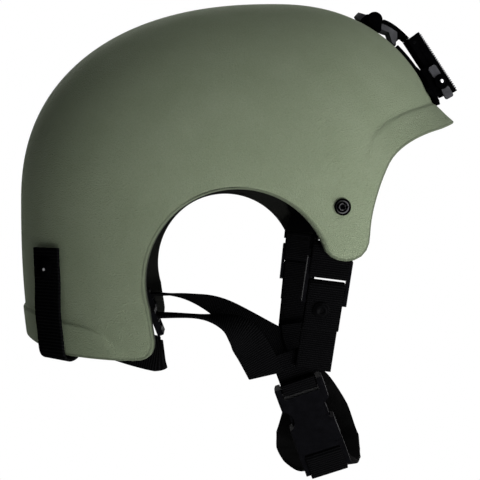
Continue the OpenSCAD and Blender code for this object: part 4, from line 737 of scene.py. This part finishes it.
def makeShell():
    outer, inner = shellSkins()
    rows, cols = outer.shape[:2]
    # the border's places, once round, with the way out of the skin at each
    ring = ([(i, 0) for i in range(rows)] + [(rows - 1, j) for j in range(1, cols)]
            + [(i, cols - 1) for i in range(rows - 2, -1, -1)] + [(0, j) for j in range(cols - 2, 0, -1)])
    edge = np.array([outer[p] for p in ring])
    edgeIn = np.array([inner[p] for p in ring])
    run = np.roll(edge, -1, 0) - np.roll(edge, 1, 0)
    wall = edge - edgeIn
    wall /= np.linalg.norm(wall, axis=1, keepdims=True)
    out = np.cross(run, wall)
    out /= np.linalg.norm(out, axis=1, keepdims=True)
    outer, inner = outer.reshape(-1, 3), inner.reshape(-1, 3)
    if np.mean(np.sum((edge - outer.mean(0)) * out, axis=1)) < 0:
        out = -out
    # the rim rounds over from the outer skin, crosses the wall and rounds over to the inner skin
    r, steps = shellSet["rimRadius"], shellSet["rimSteps"]
    quarter = [math.pi / 2 * q / steps for q in range(1, steps)]
    loops = [edge - out * r * (1 - math.sin(a)) - wall * r * (1 - math.cos(a)) for a in quarter]
    loops += [edge - wall * r, edgeIn + wall * r]
    loops += [edgeIn - out * r * (1 - math.sin(a)) + wall * r * (1 - math.cos(a)) for a in reversed(quarter)]
    verts = np.concatenate([drawnBack(outer, edge, out), drawnBack(inner, edgeIn, out)] + loops) * mm
    skin, total, n = rows * cols, 2 * rows * cols, len(ring)
    faces = []
    for i in range(rows - 1):
        for j in range(cols - 1):
            a = i * cols + j
            b = skin + a
            faces += [(a, a + 1, a + cols + 1, a + cols), (b, b + cols, b + cols + 1, b + 1)]
    first = [i * cols + j for i, j in ring]
    rings = [first] + [[total + q * n + k for k in range(n)] for q in range(len(loops))]
    rings.append([skin + f for f in first])
    for a, b in zip(rings, rings[1:]):
        faces += [(a[k], b[k], b[(k + 1) % n], a[(k + 1) % n]) for k in range(n)]
    piece = placedObject("shell_moulding", verts, faces, olive)
    facesOutward(piece)
    # what the olive reads: 1 on the rim, which takes painted shade, and 1 inside, painted near black as shade,
    # with a soft change at the rim's middle
    rim, inside = np.zeros(len(verts), dtype=np.float32), np.zeros(len(verts), dtype=np.float32)
    rim[first] = 1.0
    rim[total:] = 1.0
    inside[skin:total] = 1.0
    inside[total + (steps - 1) * n:total + steps * n] = shellSet["rimMiddle"]
    inside[total + steps * n:] = 1.0
    for name, values in (("inside", inside), ("rim", rim)):
        piece.data.attributes.new(name, "FLOAT", "POINT").data.foreach_set("value", values)
    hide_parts("shell")
    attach(piece, "helmet")
    return piece


shellPiece = makeShell()
print("shell moulding made:", len(shellPiece.data.vertices), "points")

# Webbing. A run of it is a list of places with the direction of its width and the width itself.
webSet = {
    "width": 20.0,
    "thick": 1.8,
    "loopedWidth": 21.6,    # webbing that is drawn hard round a bar spreads
    "tabWidth": 25.0,
    "selvedge": 0.42,       # radius as a share of the thickness
    "turns": (0.55, 1.1, 1.5708, 2.04, 2.6),    # radians round the selvedge
    "gap": 0.3,             # between two layers sewn together
    "steps": 9,
}


def unit(v):
    v = np.asarray(v, float)
    return v / np.linalg.norm(v, axis=-1, keepdims=True)


def refined(stations, steps):
    # a smooth run through the stations
    centres = np.array([s[0] for s in stations], float)
    widths = np.array([s[1] for s in stations], float)
    sizes = np.array([s[2] for s in stations], float)
    n = len(stations)
    out = []
    for i in range(n - 1):
        a, b, c, d = max(0, i - 1), i, i + 1, min(n - 1, i + 2)
        for k in range(0 if i == 0 else 1, steps + 1):
            u = k / steps
            mix = lambda v: 0.5 * (2 * v[b] + (v[c] - v[a]) * u
                                   + (2 * v[a] - 5 * v[b] + 4 * v[c] - v[d]) * u * u
                                   + (3 * v[b] - v[a] - 3 * v[c] + v[d]) * u ** 3)
            out.append((mix(centres), mix(widths), sizes[b] + (sizes[c] - sizes[b]) * u))
    return [np.array(x) for x in zip(*out)]


def webSection(width, thick):
    # half turns at the selvedges and flat faces between them, as one half and the same turned about
    r = thick * webSet["selvedge"]
    flat = width / 2 - r
    half = [(x, thick / 2) for x in (-flat, -flat * 0.5, 0, flat * 0.5, flat)]
    half += [(flat + r * math.sin(a), thick / 2 - (thick / 2) * (1 - math.cos(a))) for a in webSet["turns"]]
    return np.array(half + [(-x, -z) for x, z in half])


def bandMesh(centres, widthDirs, sizes, thick, closed=False):
    n = len(centres)
    if closed:
        run = np.roll(centres, -1, 0) - np.roll(centres, 1, 0)
    else:
        run = np.gradient(centres, axis=0)
        run[1:-1] = centres[2:] - centres[:-2]
    run = unit(run)
    w = unit(widthDirs - run * np.sum(widthDirs * run, axis=1, keepdims=True))
    up = unit(np.cross(run, w))
    lengths = np.concatenate([[0], np.cumsum(np.linalg.norm(np.diff(centres, axis=0), axis=1))])
    verts, uvs, faces = [], [], []
    for i in range(n):
        section = webSection(sizes[i], thick)
        verts.append(centres[i] + section[:, :1] * w[i] + section[:, 1:] * up[i])
        uvs.append(np.stack([section[:, 0], np.full(len(section), lengths[i])], -1))
    m = len(verts[0])
    for i in range(n if closed else n - 1):
        for k in range(m):
            a, b = i * m + k, i * m + (k + 1) % m
            c, d = ((i + 1) % n) * m + (k + 1) % m, ((i + 1) % n) * m + k
            faces.append((a, b, c, d))
    if not closed:
        faces.append(tuple(range(m - 1, -1, -1)))
        faces.append(tuple((n - 1) * m + k for k in range(m)))
    return np.concatenate(verts) * mm, faces, np.concatenate(uvs) * mm


def strapPiece(name, stations, nodes, body="helmet", thick=webSet["thick"], material=webbing, cut=0.0,
               rib=webbingFinish["rib"]):
    # cut slants the last end: its length per width, longer on the side the width points to
    centres, widths, sizes = refined(stations, webSet["steps"])
    verts, faces, uvs = bandMesh(centres, widths, sizes, thick)
    if cut:
        m = len(verts) // len(centres)
        run = unit(centres[-1] - centres[-2])
        for back, share in ((1, 1.0), (2, 0.6), (3, 0.3)):    # the last three sections share the slant
            end = slice(len(verts) - back * m, len(verts) - (back - 1) * m)
            more = (uvs[end, :1] + sizes[-1] / 2 * mm) * cut * share
            verts[end] += run * more
            uvs[end, 1:] += more
    uvs[:, 1] *= webbingFinish["rib"] / rib
    piece = placedObject(name, verts, faces, material, uvs)
    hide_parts(*nodes)
    if body:
        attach(piece, body)
    return piece


def turnAbout(lean, tilt, spin=0.0):
    a, b, c = (math.radians(v) for v in (lean, tilt, spin))
    return np.array(Matrix.Rotation(b, 3, "Y") @ Matrix.Rotation(a, 3, "X") @ Matrix.Rotation(c, 3, "Y"))


harnessSet = {
    "lean": 12.5,                    # degrees, and so is the tilt
    "tilt": 7.0,
    "adjuster": (48.2, -97.0, 0.6),
    "farShift": (3.0, 2.4, 0.0),     # the left adjuster's place against the right one's mirror image
    "upperBar": 6.4,
    "lowerBar": -4.6,
    "bar": 2.6,
    "barClear": 0.25,
    "anchorTop": 17.0,
    "anchorBar": 3.0,
    "anchorEase": 0.4,
    "lowerRun": 48.0,
    "farRun": 1.0,                   # how much longer it is on the left
    "tailRun": 22.5,
    "slack": {"right": 1.6, "left": 2.4},    # how far each fold hangs off its bar
}
adjusterTurn = turnAbout(harnessSet["lean"], harnessSet["tilt"])
layerNormal = adjusterTurn[:, 1]
loopRadius = harnessSet["bar"] / 2 + harnessSet["barClear"] + webSet["thick"] / 2
frontLayer = loopRadius
rearLayer = frontLayer + webSet["thick"] + webSet["gap"]
chinLayer = rearLayer + webSet["thick"] + webSet["gap"]


def adjusterOrigin(far):
    return np.array(harnessSet["adjuster"]) + (np.array(harnessSet["farShift"]) if far else 0)


def adjusterPlace(local, far):
    p = adjusterOrigin(far) + np.asarray(local, float) @ adjusterTurn.T
    return p * mirrorY if far else p


def onLayer(x, z, depth, far=False):
    # a point on a layer of webbing that runs level with the adjuster, depth in front of it
    o = adjusterOrigin(far)
    aside = layerNormal[0] * (x - o[0])
    below = layerNormal[2] * (z - o[2])
    return np.array([x, o[1] + (depth - aside - below) / layerNormal[1], z])


def halfTurn(barAt, way, steps, start=-1):
    # from one side of a bar round to the other, under it or, where way is -1, over it
    return [(0.0, start * loopRadius * math.cos(a), barAt - way * loopRadius * math.sin(a))
            for a in np.linspace(0, math.pi, steps)]


def loopPath(barAt, frontRun, backRun, way):
    # centre line round a bar in the Y-Z plane of its frame: front run, half turn, back run
    return np.array([(0.0, -loopRadius, barAt + way * frontRun * (1 - k / 12)) for k in range(12)]
                    + halfTurn(barAt, way, 11)
                    + [(0.0, loopRadius, barAt + way * backRun * (k + 1) / 20) for k in range(20)])


def frameStrap(name, path, placer, nodes, body="helmet", closed=False, width=webSet["width"]):
    # webbing along a path of an adjuster's or the buckle's own frame, straight across
    centres = np.array([placer(p) for p in path])
    side = placer((1.0, 0.0, 0.0)) - placer((0.0, 0.0, 0.0))
    widths = np.tile(side, (len(path), 1))
    sizes = np.full(len(path), width)
    verts, faces, uvs = bandMesh(centres, widths, sizes, webSet["thick"], closed)
    piece = placedObject(name, verts, faces, webbing, uvs)
    facesOutward(piece)
    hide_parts(*nodes)
    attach(piece, body)


def makeFrontStraps():
    inner = harnessSet["bar"] / 2 + harnessSet["barClear"]
    top = harnessSet["anchorTop"] + harnessSet["anchorBar"] - inner + harnessSet["anchorEase"]
    for far in (False, True):
        side = "left" if far else "right"
        slack = harnessSet["slack"][side]
        low = harnessSet["upperBar"] - slack
        placer = lambda p, far=far: adjusterPlace(p, far)
        ring = halfTurn(top, -1, 9, start=1)
        ring += [(0.0, -loopRadius, top + (low - top) * k / 6) for k in range(1, 6)]
        ring += halfTurn(low, 1, 9)
        ring += [(0.0, loopRadius, low + (top - low) * k / 6) for k in range(1, 6)]
        frameStrap("upper_webbing_" + side, np.array(ring), placer, ["upper_strap_" + side], closed=True,
                   width=webSet["loopedWidth"])
        path = loopPath(harnessSet["lowerBar"] + slack, harnessSet["tailRun"] + slack,
                        harnessSet["lowerRun"] + slack + (harnessSet["farRun"] if far else 0), -1)
        frameStrap("front_webbing_" + side, path, placer, ["front_strap_" + side])


makeFrontStraps()

def fullWidth(places):
    return [(c, w, webSet["width"]) for c, w in places]


def mirrored(stations):
    return [(np.array(c, float) * mirrorY, np.array(w, float) * mirrorY, s) for c, w, s in stations]


rearStations = {
    "right": fullWidth([
        ((-70, -75.5, -21), (0.1, 1, 0)),
        ((-44, -84, -19.4), (0.02, 1, 0)),
        ((-22, -86.5, -19.8), (0.1, 1, -0.05)),
        ((-8.3, -87, -22.6), (0.35, 0.9, 0.18)),
        ((0, -86.4, -28), (0.64, 0.62, 0.34)),
        (onLayer(7.4, -37.4, rearLayer), (0.87, 0.12, 0.46)),
        (onLayer(15.0, -51.2, rearLayer), (0.93, 0.06, 0.34))]),
    "left": fullWidth([
        ((-70, -75.4, -21.4), (0.1, 1, 0)),
        ((-48, -83.5, -21.2), (0.03, 1, 0.04)),
        ((-30, -87.5, -23.2), (0.12, 0.95, 0.22)),
        ((-12, -88, -29), (0.2, 0.68, 0.55)),
        (onLayer(10, -41, rearLayer, True), (0.42, 0.12, 0.84)),
        (onLayer(33, -53.4, rearLayer, True), (0.46, 0.03, 0.84)),
        (onLayer(47.5, -60, rearLayer, True), (0.36, 0.03, 0.9))]),
    "rightCut": 0.3,    # the right one's lower end is cut on the slant
}
strapPiece("rear_webbing_right", rearStations["right"], ["rear_strap_right"], cut=rearStations["rightCut"])
strapPiece("rear_webbing_left", mirrored(rearStations["left"]), ["rear_strap_left"])

napeSet = {
    "places": [    # a place, the way of the width, and how much of the left one's shift it takes
        ((-107.8, -38, -28.4), (0, 0, 1), 0),
        ((-98.6, -50.4, -28.8), (0, 0, 1), 0),
        ((-88, -62.4, -30.6), (0, 0, 1), 0),
        ((-75, -73.4, -34), (0, 0.05, 1), 0.3),
        ((-60, -81.8, -37.6), (0.06, 0.06, 1), 0.8),
        ((-45.4, -86, -40.6), (0.05, 0.04, 1), 1),
        ((-41, -86.4, -40.4), (0.05, 0.04, 1), 1)],
    "tip": 15,    # mm across its end in the slider
    "leftShift": (-16, 7.5, 0),
}


def napeStations(shift):
    moved = [(np.array(c, float) + k * np.array(shift, float), w) for c, w, k in napeSet["places"]]
    stations = fullWidth(moved)
    return stations[:-1] + [stations[-1][:2] + (napeSet["tip"],)]


strapPiece("nape_webbing_right", napeStations((0, 0, 0)), ["nape_strap_right"])
strapPiece("nape_webbing_left", mirrored(napeStations(napeSet["leftShift"])), ["nape_strap_left"])

# Rear tabs: one length of webbing runs from the snap down over the rim and up inside.
tabSet = {
    "azimuth": 206.8,      # degrees, and so are the rises, from the shell's centre
    "topRise": -10.2,
    "flapRises": (-14, -18),
    "snapRise": -14.6,
    "hingeRise": -21.2,
    "lowRises": (-24, -27.5),
    "rimRise": -31.8,
    "insideRises": (-28, -25.4),
    "rimUnder": 3.3,       # mm
    "clear": 0.5,
    "insideClear": 1.2,
    "bend": 2.2,           # half the length that bends at the hinge
}
snapPoint = onShell(tabSet["azimuth"], tabSet["snapRise"])
snapNormal = shellNormal(snapPoint)
tabAcross = unit(np.array([snapNormal[1], -snapNormal[0], 0.0]))
tabRest = tabSet["clear"] + webSet["thick"] / 2
tabLift = shellSet["bandProud"] + tabRest


def makeTab(side):
    at = lambda rise, proud: onShell(tabSet["azimuth"], rise, proud)
    insideRest = -shellSet["wall"] - tabRest - tabSet["insideClear"]
    a = at(tabSet["rimRise"] + 0.4, tabLift)
    b = at(tabSet["rimRise"] + 0.4, -shellSet["wall"] - tabLift - 0.1)
    hinge = at(tabSet["hingeRise"], tabLift - 0.5)
    upperFlap, lowerFlap = tabSet["flapRises"]
    places = [at(tabSet["topRise"], tabRest), at(upperFlap, tabRest), at(lowerFlap, tabRest + 0.1), hinge]
    places += [at(rise, tabLift) for rise in tabSet["lowRises"]]
    places += [a, (a + b) / 2 - np.array([0, 0, tabSet["rimUnder"]]), b]
    places += [at(rise, insideRest) for rise in tabSet["insideRises"]]
    stations = [(p, tabAcross, webSet["tabWidth"]) for p in places]
    if side == "left":
        stations = mirrored(stations)
    piece = strapPiece("rear_tab_" + side, stations, ["snap_flap_" + side, "rim_strap_" + side], body=None,
                       rib=webbingFinish["tabRib"])
    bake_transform(piece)


for side in ("right", "left"):
    makeTab(side)

# Buckle webbing, and the chin cup that hangs between the buckle and the wearer's left strap.
buckleSet = {
    "top": (33.6, -57.1),    # its X and Z
    "tilt": -26.7,
    "socketBar": -3.2,
    "plugBar": -46.8,
    "loopFront": 4.4,        # runs of webbing: the fold round the socket's bar, and the plug's
    "loopBack": 21.0,
    "tail": 11.0,
    "cupRun": 12.4,
}
buckleTop = onLayer(*buckleSet["top"], chinLayer - frontLayer)
buckleTurn = turnAbout(harnessSet["lean"], harnessSet["tilt"], buckleSet["tilt"])
bucklePlace = lambda p: buckleTop + np.asarray(p, float) @ buckleTurn.T
socketFold = loopPath(buckleSet["socketBar"], buckleSet["loopFront"], buckleSet["loopBack"], 1)
plugFold = loopPath(buckleSet["plugBar"], buckleSet["tail"], buckleSet["cupRun"], -1)
frameStrap("buckle_webbing", socketFold, bucklePlace, ["buckle_strap"])
frameStrap("plug_webbing", plugFold, bucklePlace, ["chin_strap"], body="buckle_plug",
           width=webSet["loopedWidth"])
strapPiece("chin_webbing_left", mirrored(fullWidth([
    ((54.8, -54.6, -80.2), (0.99, 0, -0.1)),
    ((53.4, -60.6, -72.4), (0.99, 0, -0.08)),
    ((50.6, -71, -59), (0.99, 0, -0.05)),
    (onLayer(48, -50, chinLayer + 2.3, True), (0.99, 0, -0.02)),
    (onLayer(46.8, -41.5, chinLayer + 2.7, True), (0.99, 0, -0.02))])), ["chin_strap_left"])
print("webbing made")

cupSet = {
    "width": 54.0,
    "thick": 3.0,
    "clear": 0.9,              # behind the buckle
    "fromBuckle": (44, 52),    # where its end lies, down from the buckle's top
}
buckleAcross, buckleDown = np.array([0.94, -0.102, 0.326]), np.array([0.34, 0.191, -0.921])


def makeChinCup():
    behind = layerNormal * (frontLayer + webSet["thick"] / 2 + cupSet["thick"] / 2 + cupSet["clear"])
    w = cupSet["width"]
    end, nearEnd = (buckleTop + buckleDown * down + behind for down in cupSet["fromBuckle"])
    stations = [
        (end, buckleAcross, 21), (nearEnd, buckleAcross, 23),
        ((54, -52.5, -110.7), (0.98, -0.04, 0.15), 0.66 * w), ((53.6, -28, -112.4), (1, 0, 0.04), 0.88 * w),
        ((54.2, -3, -111.7), (1, 0, 0), 0.98 * w), ((56.6, 22, -108), (1, 0, 0), w),
        ((58, 46, -94.5), (1, 0, 0), 0.82 * w), ((53.5, 62, -75), (0.99, 0, -0.1), 26)]
    piece = strapPiece("chin_cup_cloth", stations, ["chin_cup"], thick=cupSet["thick"], material=padCloth)


makeChinCup()

# Pads: foam in cloth. Each swells from its solid in a short cloth simulation.
padSet = {
    "names": ["front_pad", "rear_pad", "crown_pad", "temple_pad_right", "temple_pad_left",
              "side_pad_right", "side_pad_left", "nape_pad"],
    "voxel": 4.0,
    "napeVoxel": 3.0,    # the nape pad is thinner
    "shrink": 0.7,       # mm in before it swells
    "cap": 3.0,          # mm that a point may move out
    "pressure": 4.0,
    "frames": 20,
    "browLow": (65.9, 87.5, 0.46),    # the brow pad's low edge, what it is raised to, and the height left
}


def browReach(z):
    rise = np.clip((z - shellSet["centre"][2]) / shellSet["crownRise"], 0, 1)
    return shellSet["frontReach"] * (1 - rise ** shellSet["sidePower"]) ** (1 / shellSet["sidePower"])


def pointsOf(mesh):
    return np.array([v.co for v in mesh.vertices])


def setPoints(mesh, points):
    mesh.vertices.foreach_set("co", points.ravel())
    mesh.update()


def shapedMesh(piece):
    # the mesh that the modifiers make becomes the piece's own
    deps = bpy.context.evaluated_depsgraph_get()
    made = bpy.data.meshes.new_from_object(piece.evaluated_get(deps))
    piece.modifiers.clear()
    piece.data = made
    return made


def raisedBrow(mesh):
    # the brow pad sits high, out of sight from the side, and keeps to the shell's inner face
    low, raised, share = padSet["browLow"]
    points = pointsOf(mesh) / mm
    z = raised + (points[:, 2] - low) * share
    points[:, 0] += browReach(z) - browReach(points[:, 2])
    points[:, 2] = z
    setPoints(mesh, points * mm)


def swell(piece, start):
    scene = bpy.context.scene
    cloth = piece.modifiers.new("cloth", "CLOTH")
    cloth.settings.use_pressure = True
    cloth.settings.uniform_pressure_force = padSet["pressure"]
    cloth.settings.effector_weights.gravity = 0
    cloth.point_cache.frame_start, cloth.point_cache.frame_end = 1, padSet["frames"]
    for f in range(1, padSet["frames"] + 1):
        scene.frame_set(f)
    swollen = shapedMesh(piece)
    moved = pointsOf(swollen) - start
    size = np.linalg.norm(moved, axis=1, keepdims=True)
    moved *= np.minimum(1, padSet["cap"] * mm / np.maximum(size, 1e-9))
    setPoints(swollen, start + moved)
    scene.frame_set(1)


def makePad(name):
    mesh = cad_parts[name].data.copy()
    mesh.materials.clear()
    if name == "front_pad":
        raisedBrow(mesh)
    piece = bpy.data.objects.new(name + "_cushion", mesh)
    bpy.context.scene.collection.objects.link(piece)
    bpy.context.view_layer.objects.active = piece
    piece.modifiers.new("weld", "WELD").merge_threshold = 0.02 * mm
    remesh = piece.modifiers.new("remesh", "REMESH")
    remesh.mode = "VOXEL"
    remesh.voxel_size = padSet["napeVoxel" if name == "nape_pad" else "voxel"] * mm
    fresh = shapedMesh(piece)
    normals = np.array([v.normal for v in fresh.vertices])
    shrunk = pointsOf(fresh) - normals * padSet["shrink"] * mm
    setPoints(fresh, shrunk)
    swell(piece, shrunk)
    smooth = piece.modifiers.new("smooth", "SMOOTH")
    smooth.factor, smooth.iterations = 0.5, 4
    sub = piece.modifiers.new("subdivide", "SUBSURF")
    sub.levels = sub.render_levels = 1
    done = shapedMesh(piece)
    done.materials.clear()
    done.materials.append(padCloth)
    done.shade_smooth()
    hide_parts(name)
    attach(piece, "helmet")


for name in padSet["names"]:
    makePad(name)
print("pads made")

# Hard parts keep their solids, with their own finish and edges softened by so many millimetres.
hardParts = {
    "mount_base": (nylon, 0.35),
    "housing": (nylon, 0.35),
    "front_plate": (plateZinc, 0.12),
    "mount_bolt": (steel, 0.15),
    "mount_nut": (steel, 0.15),
    "lock_lever": (leverZinc, 0.3),
    "lock_pin": (steel, 0.12),
    "arm": (armZinc, 0.3),
    "arm_cover": (zinc, 0.2),
    "arm_pin_rod": (steel, 0.2),
    "hook_block": (zinc, 0.3),
    "hook_pin_knob": (zinc, 0.25),
    "claw": (litZincGrey, 0.3),
    "buckle_socket": (acetal, 0.4),
    "buckle_plug": (acetal, 0.35),
    "prong_front": (acetal, 0.3),
    "prong_rear": (acetal, 0.3),
}
for side in ("right", "left"):
    hardParts.update({
        "nape_slider_" + side: (acetal, 0.35),
        "side_screw_" + side: (screwSteel, 0.15),
        "side_washer_" + side: (rubber, 0.12),
        "side_anchor_" + side: (zinc, 0.15),
        "side_nut_" + side: (steel, 0.15),
        "snap_cap_" + side: (capBrass, 0.12),
        "snap_stud_" + side: (plated, 0.12),
        "adjuster_" + side + "_part": (acetal, 0.4),
        "strap_button_" + side: (enamel, 0.12),
    })
sharpEdge = 32    # degrees: only edges that turn further are softened


def finishSolid(name, material, width):
    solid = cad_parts[name]
    if not solid.material_slots:
        solid.data.materials.append(material)
    for slot in solid.material_slots:
        slot.link = "OBJECT"
        slot.material = material
    solid.modifiers.new("weld", "WELD").merge_threshold = 0.01 * mm
    bevel = solid.modifiers.new("bevel", "BEVEL")
    bevel.width = width * mm
    bevel.segments = 2
    bevel.limit_method = "ANGLE"
    bevel.angle_limit = math.radians(sharpEdge)
    bevel.harden_normals = False
    solid.modifiers.new("even_normals", "WEIGHTED_NORMAL").keep_sharp = False


for name, (material, width) in hardParts.items():
    finishSolid(name, material, width)

# The pivot pin's turned end is left bare: a small dome on the wearer's right.
pinSet = {"centre": (130.5, -12.6, 119.9), "radius": 1.25, "rise": 0.55, "around": 28, "rings": 5}


def makePinEnd():
    c = np.array(pinSet["centre"])
    verts = [c + [0, -pinSet["rise"], 0]]
    n = pinSet["around"]
    for q in range(1, pinSet["rings"] + 1):
        a = math.pi / 2 * q / pinSet["rings"]
        for k in range(n):
            b = 2 * math.pi * k / n
            verts.append(c + [pinSet["radius"] * math.sin(a) * math.cos(b), -pinSet["rise"] * math.cos(a),
                              pinSet["radius"] * math.sin(a) * math.sin(b)])
    faces = [(0, 1 + k, 1 + (k + 1) % n) for k in range(n)]
    for q in range(pinSet["rings"] - 1):
        for k in range(n):
            a, b = 1 + q * n + k, 1 + q * n + (k + 1) % n
            faces.append((a, a + n, b + n, b))
    faces.append(tuple(range(len(verts) - 1, len(verts) - 1 - n, -1)))
    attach(placedObject("pivot_pin_end", np.array(verts) * mm, faces, bareSteel()), "helmet")


makePinEnd()
print("solids finished")
